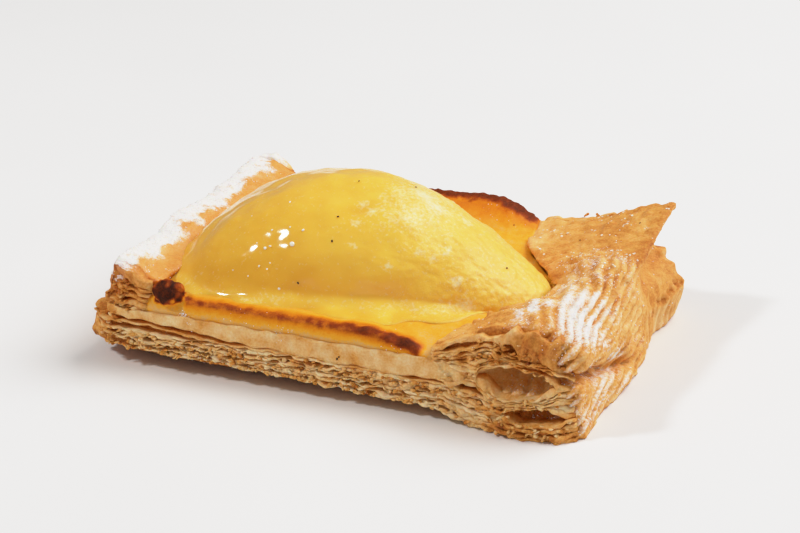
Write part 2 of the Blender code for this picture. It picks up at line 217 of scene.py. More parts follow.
class Bench:
    """A new material, with the few kinds of node that the finishes are made of."""

    def __init__(self, name: str) -> None:
        """Makes the material with its shader."""
        self.material = bpy.data.materials.new(name)
        self.material.use_nodes = True
        self.tree = self.material.node_tree
        self.shader = self.tree.nodes["Principled BSDF"]
        self.place = add_node(self.tree, "ShaderNodeTexCoord").outputs["Object"]

    def painted(self) -> tuple[Socket, ...]:
        """The three shares that are painted on the mesh."""
        attribute = add_node(self.tree, "ShaderNodeAttribute", {"attribute_name": BAKE})
        split = add_node(self.tree, "ShaderNodeSeparateColor", links={"Color": attribute.outputs["Color"]})
        return tuple(split.outputs[name] for name in ("Red", "Green", "Blue"))

    def pattern(self, size_mm: float, detail: float, roughness: float = 0.5) -> Socket:
        """Unevenness from 0 to 1 whose lumps have this size."""
        settings = {"Scale": per_metre(size_mm), "Detail": detail, "Roughness": roughness}
        return add_node(self.tree, "ShaderNodeTexNoise", settings, {"Vector": self.place}).outputs["Fac"]

    def combine(self, operation: str, *values: float | Socket) -> Socket:
        """The result of a sum or product of numbers and sockets."""
        constants = {index: value for index, value in enumerate(values) if isinstance(value, float)}
        links = {index: value for index, value in enumerate(values) if index not in constants}
        return add_node(self.tree, "ShaderNodeMath", {"operation": operation, **constants}, links).outputs[0]

    def swing(self, value: Socket, width: float) -> Socket:
        """A number from 0 to 1 moved and stretched to swing about 0 over this width."""
        return self.combine("MULTIPLY_ADD", value, width, -0.5 * width)

    def stops(self, value: Socket, colours: Sequence[tuple[float, str]]) -> Socket:
        """The colour that a number stands for on a row of colours."""
        return add_node(self.tree, "ShaderNodeValToRGB", {"stops": colours}, {"Fac": value}).outputs["Color"]

    def span(self, value: Socket, ends: dict[str, float]) -> Socket:
        """A number moved from one span to another, each end 0 or 1 unless it is given."""
        return add_node(self.tree, "ShaderNodeMapRange", ends, {"Value": value}).outputs["Result"]

    def blend(self, share: Socket, under: Socket | str, over: str, kind: str = "MIX") -> Socket:
        """A colour laid over another by a share.

        Args:
            share: how much of it.
            under: the colour below, as a socket or a hex colour.
            over: the colour on top, as a hex colour.
            kind: how they are mixed.

        Returns:
            The mixed colour.
        """
        settings = {"data_type": "RGBA", "blend_type": kind, 7: to_linear(over)}
        links = {0: share}
        if isinstance(under, str):
            settings[6] = to_linear(under)
        else:
            links[6] = under
        return add_node(self.tree, "ShaderNodeMix", settings, links).outputs[2]

    def bump(self, height: Socket, strength: float, depth_mm: float) -> Socket:
        """A fine relief of this depth."""
        settings = {"Strength": strength, "Distance": depth_mm * METRES_PER_MM}
        return add_node(self.tree, "ShaderNodeBump", settings, {"Height": height}).outputs["Normal"]

    def surface(self, inputs: dict[str, Socket | float | tuple[float, ...]]) -> bpy.types.Material:
        """Feeds the shader's inputs with sockets or fixed values, and gives the finished material."""
        for name, value in inputs.items():
            socket = self.shader.inputs[name]
            if isinstance(value, Socket):
                self.tree.links.new(value, socket)
            else:
                socket.default_value = value
        return self.material


@dataclass(frozen=True)
class BakedPastry:
    """Baked puff pastry: dry, golden where the leaves of dough browned, powdery where sugar fell.

    The attribute holds how far it is browned, with painted shade in creases, gaps and recesses, how thick the
    icing sugar lies and how wet the glaze is.
    """

    name: str = "baked puff pastry"
    browning: tuple[tuple[float, str], ...] = (
        (0.0, "#f7daa9"),
        (0.22, "#f1c17e"),
        (0.42, "#e3a04d"),
        (0.60, "#c1752b"),
        (0.78, "#8c4618"),
        (1.0, "#44200e"),
    )
    sugar: str = "#f6efe8"
    glaze: str = "#f2cf92"
    mottle_mm: float = 2.6
    crumb_mm: float = 0.55
    powder_mm: float = 0.7
    dry: float = 0.62
    shiny: float = 0.16

    def build(self) -> bpy.types.Material:
        """Makes the material."""
        bench = Bench(self.name)
        # the first share is browning and also painted shade, darker in creases, gaps and recesses
        browned, sugared, glazed = bench.painted()
        crumb = bench.pattern(self.crumb_mm, 3.0)
        powder = bench.pattern(self.powder_mm, 5.0, 0.65)
        browned = bench.combine("ADD", browned, bench.swing(bench.pattern(self.mottle_mm, 4.0), 0.34))
        browned = bench.combine("ADD", browned, bench.swing(crumb, 0.40))
        crust = bench.blend(glazed, bench.stops(browned, self.browning), self.glaze, "MULTIPLY")
        drifts = bench.combine("ADD", sugared, bench.swing(powder, 1.3))
        cover = bench.span(drifts, {"From Min": 0.34, "From Max": 0.78})
        return bench.surface(
            {
                "Base Color": bench.blend(cover, crust, self.sugar),
                "Roughness": bench.span(glazed, {"To Min": self.dry, "To Max": self.shiny}),
                "Normal": bench.bump(bench.combine("MULTIPLY_ADD", crumb, 0.5, powder), 0.55, 0.35),
                "Specular IOR Level": 0.22,
                "Subsurface Weight": 0.18,
                "Subsurface Radius": (1.0, 0.45, 0.15),
                "Subsurface Scale": 0.0012,
            }
        )


@dataclass(frozen=True)
class BakedCustard:
    """Baked custard: set, moist and yellow, with a skin that browned where it rose highest.

    The attribute's first number holds how far it is browned.
    """

    name: str = "baked custard"
    browning: tuple[tuple[float, str], ...] = (
        (0.0, "#e2b068"),
        (0.12, "#f3aa30"),
        (0.32, "#ea9016"),
        (0.50, "#d87812"),
        (0.72, "#943b0a"),
        (1.0, "#3a1506"),
    )
    curd_mm: float = 1.6
    grain_mm: float = 0.45
    moist: float = 0.34
    dry: float = 0.70

    def build(self) -> bpy.types.Material:
        """Makes the material."""
        bench = Bench(self.name)
        painted = bench.painted()[0]
        fine = bench.pattern(self.grain_mm, 3.0)
        browned = bench.combine("ADD", painted, bench.swing(bench.pattern(self.curd_mm, 4.0), 0.26))
        browned = bench.combine("ADD", browned, bench.swing(fine, 0.24))
        return bench.surface(
            {
                "Base Color": bench.stops(browned, self.browning),
                "Roughness": bench.span(painted, {"To Min": self.moist, "To Max": self.dry}),
                "Normal": bench.bump(fine, 0.45, 0.25),
                "Specular IOR Level": 0.14,
                "Subsurface Weight": 0.15,
                "Subsurface Radius": (1.0, 0.5, 0.15),
                "Subsurface Scale": 0.0015,
            }
        )


@dataclass(frozen=True)
class GlazedPear:
    """Canned pear flesh under apricot glaze: see-through yellow, deeper where the glaze gathers.

    The attribute holds how deep the glaze is, how white the flesh shows, from its gritty spots and from a
    painted sheen at its top, and how dry it is.
    """

    name: str = "glazed canned pear"
    flesh: str = "#fdc84b"
    amber: str = "#e09a1f"
    grit_and_sheen: str = "#fdedc0"
    cloud_mm: float = 6.0
    grit_mm: float = 0.8
    pore_mm: float = 0.4
    wet: float = 0.10
    dry: float = 0.42

    def build(self) -> bpy.types.Material:
        """Makes the material."""
        bench = Bench(self.name)
        depth, gritty, dryness = bench.painted()
        clouds = bench.swing(bench.pattern(self.cloud_mm, 3.0), 0.5)
        tint = bench.blend(bench.combine("ADD", depth, clouds), self.flesh, self.amber)
        grains = bench.combine("ADD", gritty, bench.swing(bench.pattern(self.grit_mm, 5.0, 0.6), 2.0))
        cover = bench.span(grains, {"From Min": 0.22, "From Max": 0.95, "To Max": 0.80})
        pores = bench.combine("MULTIPLY", bench.pattern(self.pore_mm, 3.0), dryness)
        return bench.surface(
            {
                "Base Color": bench.blend(cover, tint, self.grit_and_sheen),
                "Roughness": bench.span(dryness, {"To Min": self.wet, "To Max": self.dry}),
                "Normal": bench.bump(pores, 0.5, 0.2),
                "IOR": 1.42,
                "Subsurface Weight": 0.3,
                "Subsurface Radius": (1.0, 0.6, 0.2),
                "Subsurface Scale": 0.003,
            }
        )


@dataclass(frozen=True)
class PlainFinish:
    """A material whose colour changes a little from grain to grain: sugar, crystals, specks, the table."""

    name: str
    light: str
    dark: str
    patch_mm: float
    roughness: float
    gloss: float

    def build(self) -> bpy.types.Material:
        """Makes the material."""
        bench = Bench(self.name)
        colours = ((0.35, self.dark), (0.65, self.light))
        return bench.surface(
            {
                "Base Color": bench.stops(bench.pattern(self.patch_mm, 2.0), colours),
                "Roughness": self.roughness,
                "Specular IOR Level": self.gloss,
            }
        )


# Meshes


def add_object(name: str, data: bpy.types.ID) -> bpy.types.Object:
    """A new object in the scene."""
    made = bpy.data.objects.new(name, data)
    bpy.context.scene.collection.objects.link(made)
    return made


class Solid:
    """A CAD node's surface, which pieces are copied from and fitted to."""

    def __init__(self, node: str) -> None:
        """Reads the node's mesh and merges the corners of its triangles."""
        self.node = node
        self.mesh_builder = bmesh.new()
        self.mesh_builder.from_mesh(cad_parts[node].data)
        corners = self.mesh_builder.verts
        bmesh.ops.remove_doubles(self.mesh_builder, verts=corners, dist=SAME_POINT_MM * METRES_PER_MM)
        bmesh.ops.scale(self.mesh_builder, vec=(MM_PER_METRE,) * 3, verts=corners)
        self.tree = BVHTree.FromBMesh(self.mesh_builder)

    def hit(self, start: Sequence[float], direction: Sequence[float]) -> Vector | None:
        """The first point that a ray from start meets, in millimetres."""
        return self.tree.ray_cast(Vector(start), Vector(direction))[0]

    def copy(self) -> bmesh.types.BMesh:
        """A copy of the merged surface, in millimetres."""
        return self.mesh_builder.copy()


def block(
    columns: int,
    rows: int,
    floors: int,
    place: Callable[[float, float, float], Sequence[float]],
) -> bmesh.types.BMesh:
    """A closed block, cut into columns, rows and floors.

    Args:
        columns: cells along its length.
        rows: cells across it.
        floors: cells up its sides.
        place: gives each corner's position from its shares of the three.

    Returns:
        The block, in millimetres.
    """
    mesh_builder = bmesh.new()
    bmesh.ops.create_grid(mesh_builder, x_segments=columns, y_segments=rows, size=0.5)
    bmesh.ops.translate(mesh_builder, vec=(0.5, 0.5, 0.0), verts=mesh_builder.verts)
    cap = list(mesh_builder.faces)
    for floor in range(floors):
        grown = bmesh.ops.extrude_face_region(mesh_builder, geom=cap)["geom"]
        if floor:
            bmesh.ops.delete(mesh_builder, geom=cap, context="FACES")
        cap = [item for item in grown if isinstance(item, bmesh.types.BMFace)]
        for vertex in {vertex for face in cap for vertex in face.verts}:
            vertex.co.z = (floor + 1) / floors
    for vertex in mesh_builder.verts:
        vertex.co = place(*vertex.co)
    bmesh.ops.recalc_face_normals(mesh_builder, faces=mesh_builder.faces)
    return mesh_builder


def lump(segments: int = 1) -> bmesh.types.BMesh:
    """A small round lump of 20 faces, or of more with finer segments, 1 mm in radius."""
    mesh_builder = bmesh.new()
    bmesh.ops.create_icosphere(mesh_builder, subdivisions=segments, radius=1.0)
    return mesh_builder


def join(parts: Iterable[bmesh.types.BMesh]) -> bmesh.types.BMesh:
    """All the parts as one mesh. The parts are freed."""
    whole = bmesh.new()
    holder = bpy.data.meshes.new("joining")
    for part in parts:
        part.to_mesh(holder)
        part.free()
        whole.from_mesh(holder)
    bpy.data.meshes.remove(holder)
    return whole


def scatter(stamp: bmesh.types.BMesh, places: Iterable[Matrix]) -> bmesh.types.BMesh:
    """Copies of one small shape as one mesh.

    Args:
        stamp: the shape, which is freed.
        places: where each copy goes and how it is turned and stretched.

    Returns:
        The joined mesh, in millimetres.
    """
    holder = bpy.data.meshes.new("stamp")
    stamp.to_mesh(holder)
    stamp.free()
    whole = bmesh.new()
    for place in places:
        first = len(whole.verts)
        whole.from_mesh(holder)
        whole.verts.ensure_lookup_table()
        for vertex in whole.verts[first:]:
            vertex.co = place @ vertex.co
    bpy.data.meshes.remove(holder)
    return whole


@dataclass
class Piece:
    """One object of the dressed tart.

    Attributes:
        name: the object's name.
        slot: the record's slot that its finish stands for; it is not used.
        replaces: the CAD node that it stands for, if any.
    """

    name: str
    slot: Slot
    replaces: str | None = None

    def make(
        self,
        mesh_builder: bmesh.types.BMesh,
        material: bpy.types.Material,
        smooth: bool = True,
    ) -> bpy.types.Object:
        """Args:
            mesh_builder: the piece's mesh, which is freed.
            material: its material.
            smooth: whether it is shaded smooth.

        Returns:
            The object.
        """
        mesh = bpy.data.meshes.new(self.name)
        bmesh.ops.scale(mesh_builder, vec=(METRES_PER_MM,) * 3, verts=mesh_builder.verts)
        mesh_builder.to_mesh(mesh)
        mesh_builder.free()
        mesh.materials.append(material)
        if smooth:
            mesh.shade_smooth()
        made = add_object(self.name, mesh)
        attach(made, "root")
        if self.replaces:
            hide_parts(self.replaces)
        LOG.info("%s: %d faces", self.name, len(mesh.polygons))
        return made


def smooth_out(mesh_builder: bmesh.types.BMesh, rounds: int = 1) -> None:
    """Moves each vertex half the way to its neighbours' middle, in so many rounds."""
    axes = {"use_axis_x": True, "use_axis_y": True, "use_axis_z": True}
    for _ in range(rounds):
        bmesh.ops.smooth_vert(mesh_builder, verts=mesh_builder.verts, factor=0.5, **axes)


def remeshed(mesh_builder: bmesh.types.BMesh, cell: float, rounds: int) -> bmesh.types.BMesh:
    """The same form in even cells.

    Args:
        mesh_builder: a closed mesh in millimetres, which is freed.
        cell: the size of a cell, in millimetres.
        rounds: how many times the steps between cells are smoothed.

    Returns:
        The new mesh, in millimetres.
    """
    mesh = bpy.data.meshes.new("remeshing")
    mesh_builder.to_mesh(mesh)
    mesh_builder.free()
    holder = add_object("remeshing", mesh)
    modifier = holder.modifiers.new("cells", "REMESH")
    modifier.mode = "VOXEL"
    modifier.voxel_size = cell
    modifier.adaptivity = 0.0
    graph = bpy.context.evaluated_depsgraph_get()
    even = bpy.data.meshes.new_from_object(holder.evaluated_get(graph))
    fresh = bmesh.new()
    fresh.from_mesh(even)
    smooth_out(fresh, rounds)
    bpy.data.objects.remove(holder)
    bpy.data.meshes.remove(mesh)
    bpy.data.meshes.remove(even)
    fresh.normal_update()
    return fresh


def raise_relief(mesh_builder: bmesh.types.BMesh, relief: Callable[[Vector, Vector], float]) -> None:
    """Moves each vertex along its normal by the relief at its place."""
    mesh_builder.normal_update()
    moves = [(vertex, vertex.normal * relief(vertex.co, vertex.normal)) for vertex in mesh_builder.verts]
    for vertex, move in moves:
        vertex.co += move
    mesh_builder.normal_update()


def paint(mesh_builder: bmesh.types.BMesh, shares: Callable[[Vector, Vector], Sequence[float]]) -> None:
    """Stores three shares from 0 to 1 on each vertex, for the material to read."""
    layer = mesh_builder.verts.layers.float_color.new(BAKE)
    for vertex in mesh_builder.verts:
        vertex[layer] = (*(clamp(share) for share in shares(vertex.co, vertex.normal)), 1.0)


# The camera, which also finds where on a solid a point of the picture lies


@dataclass(frozen=True)
class StudioCamera:
    """The camera at the picture's place.

    Attributes:
        place: where it stands, in millimetres.
        azimuth: how far it is turned about Z, in degrees.
        elevation: how far it looks down, in degrees.
        lens: its focal length, in millimetres.
        sensor: its sensor's width, in millimetres.
        width: the picture's width in pixels.
        height: the picture's height in pixels.
    """

    place: tuple[float, float, float] = (203.5, -501.7, 239.7)
    azimuth: float = 22.20
    elevation: float = 22.15
    lens: float = 103.5
    sensor: float = 36.0
    width: int = 800
    height: int = 533

    def turn(self) -> Matrix:
        """The camera's rotation."""
        tilt = Matrix.Rotation(math.radians(90.0 - self.elevation), 3, "X")
        return Matrix.Rotation(math.radians(self.azimuth), 3, "Z") @ tilt

    def build(self) -> None:
        """Makes the camera and looks through it."""
        lens = bpy.data.cameras.new("studio camera")
        lens.lens = self.lens
        lens.sensor_width = self.sensor
        lens.clip_start = 0.01
        made = add_object("studio camera", lens)
        made.matrix_world = Matrix.Translation(Vector(self.place) * METRES_PER_MM) @ self.turn().to_4x4()
        bpy.context.scene.camera = made

    def find_first(self, solids: Sequence[Solid], pixel: tuple[float, float]) -> tuple[Vector, Vector] | None:
        """The place and normal of the first solid that the ray through a pixel meets, or None."""
        hits = [hit for solid in solids if (hit := self.find(solid, pixel))]
        return min(hits, key=lambda hit: (hit[0] - Vector(self.place)).length, default=None)

    def find(self, solid: Solid, pixel: tuple[float, float]) -> tuple[Vector, Vector] | None:
        """The place and normal where the ray through a pixel meets a solid, or None if it misses."""
        focus = self.lens / self.sensor * self.width
        across = (pixel[0] - self.width / 2.0) / focus
        up = (self.height / 2.0 - pixel[1]) / focus
        direction = self.turn() @ Vector((across, up, -1.0))
        place, normal = solid.tree.ray_cast(Vector(self.place), direction.normalized())[:2]
        return (place, normal) if place else None


# The pastry


@dataclass
class Crust:
    """The pastry's body and skin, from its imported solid.

    Attributes:
        solid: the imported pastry.
        pear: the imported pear, which the crust touches.
        custard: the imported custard, which it touches too.
        camera: the camera, which places the gaps that the picture shows.
        near_wall: how far back the near side stops, behind its leaves.
        far_wall: how far out the far side stops.
        cell: the size of the surface's cells.
        pleat_spacing: how far the right roll's pleats are apart.
        fold_x: where the right fold's roll begins to be pleated.
        end_gaps: the gaps in the lobe's end, as pixels of the picture and a radius in millimetres.
        crease_line: the crease between the right roll and the foot below it, as places along Y and heights.
        roll_side: where along X the roll's outer side begins and where it is in full.
        ring_middle: the middle of the curved wrinkles round the pear's tip, x and y.
        lobe_middle: the middle of the lobe's ridges, y and z.
        seal_above: the height above which the crust is drawn to the filling that it touches.
        gaps: where those gaps lie on the solid.
        spots: the places and normals of the finished skin.
    """

    solid: Solid
    pear: Solid
    custard: Solid
    camera: StudioCamera
    near_wall: float = -40.6
    far_wall: float = 42.0
    cell: float = 0.62
    pleat_spacing: float = 3.3
    fold_x: float = 46.0
    end_gaps: tuple[tuple[tuple[float, float], float], ...] = (
        ((661.0, 302.0), 0.9),
        ((665.0, 300.0), 0.9),
        ((672.0, 289.0), 0.7),
        ((669.0, 293.0), 0.6),
        ((677.0, 283.0), 0.8),
        ((682.0, 282.0), 0.6),
        ((674.0, 281.0), 0.5),
    )
    crease_line: tuple[tuple[float, float], ...] = (
        (-43.0, 16.6),
        (-38.6, 15.6),
        (-24.3, 11.2),
        (-10.2, 7.0),
        (2.0, 4.4),
    )
    roll_side: tuple[float, float] = (51.0, 55.0)
    ring_middle: tuple[float, float] = (37.0, -8.0)
    lobe_middle: tuple[float, float] = (36.0, 6.0)
    seal_above: float = 15.6
    gaps: list[tuple[Vector, float]] = field(default_factory=list, init=False)
    spots: list[tuple[Vector, Vector]] = field(default_factory=list, init=False)

    def pleats(self, place: Vector) -> float:
        """Rounded ridges with sharp valleys that run along the right roll, from -1 to 1."""
        around = place.x + 27.0 - place.z + 0.24 * place.y
        spot = Vector((around * 0.3, place.y, 0.0))
        wandering = around + 1.7 * grain(spot, 13.0, 4.0) + 0.35 * grain(spot, 5.0, 10.0)
        phase = math.pi * wandering / self.pleat_spacing
        strength = 0.85 + 0.4 * grain(Vector((around, 0.25 * place.y, 5.0)), 6.0, 19.0)
        return strength * (2.0 * abs(math.sin(phase)) ** 0.8 - 1.0)

    def crease_height(self, place: Vector) -> float:
        """How high the crease between the roll and the foot below it runs."""
        return read_line(self.crease_line, place.y)

    def crease(self, place: Vector) -> float:
        """How far the crease under the roll is drawn in, and the roll above it pushed out, in millimetres."""
        up = place.z - self.crease_height(place) + 0.5 * grain(place, 5.0, 20.0)
        side = ramp(*self.roll_side, place.x) * ramp(4.0, -8.0, place.y)
        return side * (1.2 * bell(5.0, 3.6, up) - 3.4 * bell(-0.4, 1.3, up) + 0.8 * bell(-4.0, 2.4, up))

    def on_roll(self, place: Vector) -> float:
        """How far a place lies on the right roll, whose skin is pleated."""
        leaning = place.x + 0.35 * (27.0 - place.z)
        return ramp(self.fold_x - 4.0, self.fold_x + 7.0, leaning) * ramp(17.0, 5.0, place.y)

    def rings(self, place: Vector) -> float:
        """Curved wrinkles on the flap round the pear's tip, from -1 to 1."""
        away = math.hypot(place.x - self.ring_middle[0], place.y - self.ring_middle[1])
        near = ramp(3.0, 7.0, away) * ramp(30.0, 16.0, away)
        return near * math.sin(1.55 * away + 2.6 * grain(place, 7.0, 7.0))

    def lobe_rings(self, place: Vector) -> float:
        """Concentric ridges on the lobe at the far right, from -1 to 1."""
        away = math.hypot(place.y - self.lobe_middle[0], place.z - self.lobe_middle[1])
        lobe = ramp(52.0, 56.0, place.x) * ramp(2.0, 12.0, place.y) * ramp(19.0, 15.0, place.z)
        return lobe * math.sin(away * 2.1 + 1.8 * grain(place, 6.0, 8.0))

    def relief(self, place: Vector, normal: Vector) -> float:
        """How far baking pushed the skin out, in millimetres."""
        coarse = 0.32 * grain(place, 7.0, 1.0) + 0.17 * grain(place, 2.6, 2.0) + 0.10 * grain(place, 1.3, 3.0)
        above = ramp(0.2, 0.8, normal.z) * ramp(17.0, 20.0, place.z)
        bubbles = above * (0.42 * blister(place, 6.0, 1.0) + 0.30 * blister(place, 2.9, 2.0))
        roll = self.on_roll(place)
        bubbles *= 1.0 - 0.7 * roll
        flap = above * ramp(20.0, 26.0, place.x) * (1.0 - roll)
        creases = flap * (0.52 * self.rings(place) + 0.28 * wrinkle(place, 4.5, 5.0))
        pleats = 0.80 * self.pleats(place) + 0.16 * wrinkle(place, 3.4, 6.0)
        pleats *= roll * ramp(0.0, 3.0, place.z)
        lobes = 0.16 * self.lobe_rings(place)
        coarse *= mix(1.0, 0.4, ramp(50.0, 56.0, place.x) * ramp(6.0, 14.0, place.y))
        end = ramp(-61.0, -65.0, place.x)
        crags = end * (0.50 * grain(place, 2.4, 5.0) + 0.30 * grain(place, 1.2, 6.0))
        below = ramp(-0.3, -0.8, normal.z)
        baked = coarse + bubbles + creases + pleats + lobes + crags
        skin = baked + self.crease(place) - 2.2 * self.gap(place)
        return mix(skin, 0.12 * grain(place, 3.0, 9.0), below)

    def lift(self, place: Vector) -> float:
        """How far the underside stands off the table: the near left edge curled up in the oven."""
        along = ramp(-64.0, -55.0, place.x) * ramp(16.0, -8.0, place.x)
        return 2.0 * along * ramp(-26.0, -38.0, place.y)

    def gap(self, place: Vector) -> float:
        """How far a place lies in one of the small gaps that show in the lobe's end, from 0 to 1."""
        return max((bell(0.0, radius, (place - spot).length) for spot, radius in self.gaps), default=0.0)

    def sugar(self, place: Vector, normal: Vector) -> float:
        """How thick the icing sugar lies: thick on the left fold, in drifts on the right roll's ridges."""
        uneven_x = place.x + 2.8 * grain(place, 6.0, 11.0) + 1.2 * grain(place, 1.8, 74.0)
        left = ramp(-52.0, -58.5, uneven_x) * ramp(-0.05, 0.5, normal.z)
        left *= ramp(18.0, 20.5, place.z) * (0.90 + 0.24 * grain(place, 2.2, 13.0))
        drift = 0.26 * grain(place, 7.0, 12.0) + 0.10 * grain(place, 2.4, 18.0)
        roll = bell(55.0, 7.0, place.x) * bell(-27.0, 13.0, place.y) * ramp(13.0, 16.0, place.z) * 0.68
        flap = bell(46.0, 4.5, place.x) * bell(-27.0, 7.0, place.y) * ramp(18.0, 21.0, place.z) * 0.52
        foot = ramp(0.5, 3.0, place.z) * ramp(14.0, 11.0, place.z)
        side = ramp(55.0, 58.0, place.x) * ramp(2.0, -10.0, place.y) * foot * 0.32
        lie = max(roll, flap, side)
        right = lie + 0.36 * self.pleats(place) + 0.7 * drift if lie > 0.06 else 0.0
        thin = 0.32 * ramp(34.0, 46.0, place.x) * ramp(0.2, 0.8, normal.z) * ramp(24.0, 10.0, place.y)
        shaded = 1.0 - bell(-0.4, 1.2, place.z - self.crease_height(place)) * ramp(*self.roll_side, place.x)
        return max(left, min(0.84, right) * shaded, thin + 0.5 * drift)

    def browning(self, place: Vector, normal: Vector) -> float:
        """How far the crust is browned, with painted shade: darker in the valleys of its wrinkles and pleats,
        in the lobe's gaps and on the wall behind the leaves.
        """
        top = mix(0.40, 0.52, clamp(0.5 + 0.6 * grain(place, 9.0, 14.0)))
        top -= 0.10 * bell(44.0, 9.0, place.x) * bell(-8.0, 14.0, place.y)
        top -= 0.12 * bell(24.0, 8.0, place.x) * ramp(14.0, 22.0, place.y)
        # painted shade: the flap's wrinkles and the roll's pleats are browner in their valleys than on their
        # ridges
        ridges = -0.07 * self.rings(place) - 0.13 * self.on_roll(place) * self.pleats(place)
        lip = 0.14 * ramp(54.0, 60.0, place.x) * ramp(5.0, 12.0, place.y) * ramp(22.0, 26.0, place.z)
        inner = -0.24 * ramp(-59.0, -54.0, place.x) * ramp(-40.0, -46.0, place.x)
        side = ramp(0.4, -0.2, normal.z)
        # painted shade: the lobe's rings and the pleats are browner in their grooves than on their ridges
        right_side = 0.34 + 0.12 * grain(place, 5.0, 15.0) - 0.10 * self.lobe_rings(place)
        right_side -= 0.14 * self.pleats(place) * ramp(14.0, 6.0, place.y)
        left_side = 0.54 + 0.16 * grain(place, 2.6, 16.0)
        walls = right_side if place.x > 0.0 else left_side
        skin = mix(top + ridges + lip + inner, walls, side)
        skin = mix(skin, 0.66, ramp(-0.3, -0.8, normal.z))
        # painted shade: the small gaps in the lobe's end are browned darker
        skin += 0.45 * self.gap(place)
        # painted shade: the crust's wall behind the leaves of both cut sides is browned darker, for the shade
        # in the gaps between the leaves
        near_wall_shade = ramp(-38.6, -40.2, place.y) * ramp(0.3, -0.3, normal.y)
        far_wall_shade = ramp(40.0, 41.6, place.y) * ramp(-0.3, 0.3, normal.y)
        within = ramp(58.0, 54.0, place.x) * ramp(-66.0, -63.0, place.x) * ramp(27.0, 25.0, place.z)
        skin = mix(skin, 0.60, (near_wall_shade + far_wall_shade) * within)
        in_bubble = Vector(((place.x - 45.6) / 11.6, (place.y + 47.0) / 18.0, (place.z - 12.4) / 5.0))
        return mix(skin, 0.24, ramp(1.05, 0.95, in_bubble.length))

    def glaze(self, place: Vector) -> float:
        """How wet the skin is with glaze: at the inner edge of the left fold and round the pear's tip."""
        inner = ramp(-58.5, -54.0, place.x + 1.5 * grain(place, 5.0, 17.0)) * ramp(-42.0, -46.0, place.x)
        inner *= ramp(17.0, 19.0, place.z)
        tip = bell(36.0, 7.0, place.x) * bell(-6.0, 13.0, place.y) * 0.5
        return max(inner * 0.9, tip)

    def colour(self, place: Vector, normal: Vector) -> tuple[float, float, float]:
        """The three shares that the pastry's material reads."""
        return self.browning(place, normal), self.sugar(place, normal), self.glaze(place)

    def build(self, pastry: bpy.types.Material) -> bpy.types.Object:
        """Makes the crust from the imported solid.

        Args:
            pastry: the pastry's material.

        Returns:
            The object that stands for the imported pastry.
        """
        found = [(self.camera.find(self.solid, pixel), radius) for pixel, radius in self.end_gaps]
        self.gaps = [(hit[0], radius) for hit, radius in found if hit]
        mesh_builder = self.solid.copy()
        for vertex in mesh_builder.verts:
            far = self.far_wall + 6.0 * ramp(46.0, 52.0, vertex.co.x)
            vertex.co.y = min(far, max(self.near_wall, vertex.co.y))
        mesh_builder = remeshed(mesh_builder, self.cell, 2)
        raise_relief(mesh_builder, self.relief)
        for vertex in mesh_builder.verts:
            for filling, reach in ((self.pear, 1.8), (self.custard, 1.1)):
                spot, normal, _, distance = filling.tree.find_nearest(vertex.co)
                if distance < reach and vertex.co.z > self.seal_above:
                    vertex.co = vertex.co.lerp(spot - normal * 0.1, ramp(reach, 0.5 * reach, distance))
            vertex.co.z = max(vertex.co.z, self.lift(vertex.co))
        paint(mesh_builder, self.colour)
        self.spots = [(vertex.co.copy(), vertex.normal.copy()) for vertex in mesh_builder.verts]
        return Piece("pastry_crust", Slot.PASTRY, self.solid.node).make(mesh_builder, pastry)


@dataclass(frozen=True)
class Parting:
    """A gap between the leaves of a cut side, long and thin or round like an eye.

    Attributes:
        left: its left end, x and z.
        right: its right end, x and z.
        opening: its height at the middle.
        reach: how far above and below it the leaves are pushed together.
    """

    left: tuple[float, float]
    right: tuple[float, float]
    opening: float
    reach: float

    def middle(self) -> tuple[float, float]:
        """The middle of the gap, x and z."""
        return 0.5 * (self.left[0] + self.right[0]), 0.5 * (self.left[1] + self.right[1])

    def push(self, x: float, z: float, above: bool) -> float:
        """The height that a leaf at x and z moves to, above or below the gap, to leave it free."""
        along = (x - self.left[0]) / (self.right[0] - self.left[0])
        if not 0.0 < along < 1.0:
            return z
        half = 0.5 * self.opening * math.sqrt(1.0 - (2.0 * along - 1.0) ** 2)
        spine = mix(self.left[1], self.right[1], along)
        off = (z - spine) if above else (spine - z)
        if off >= self.reach:
            return z
        freed = half + max(0.0, off) * (1.0 - half / self.reach)
        freed = mix(off, freed, ramp(0.0, 0.3, min(along, 1.0 - along))) if off < 0.0 else freed
        return spine + freed if above else spine - freed


@dataclass(frozen=True)
class Leaf:
    """One leaf of dough in a cut side.

    Attributes:
        low: its lower face, as a share of the stack's height.
        high: its upper face.
        parted: both shares where the stack opens, at the floor's left end or the right fold's right end.
        start: where it begins along X.
        end: where it ends along X.
        ragged: how uneven its torn edge is, in millimetres.
        browning: how far it is browned.
        calm: how straight it is, from 0, wavy, to 1.
        columns_per_mm: how fine it is along X.
        floors: how fine its edge is.
    """

    low: float
    high: float
    parted: tuple[float, float]
    start: float = -80.0
    end: float = 80.0
    ragged: float = 0.8
    browning: float = 0.45
    calm: float = 0.0
    columns_per_mm: float = 2.0
    floors: int = 2


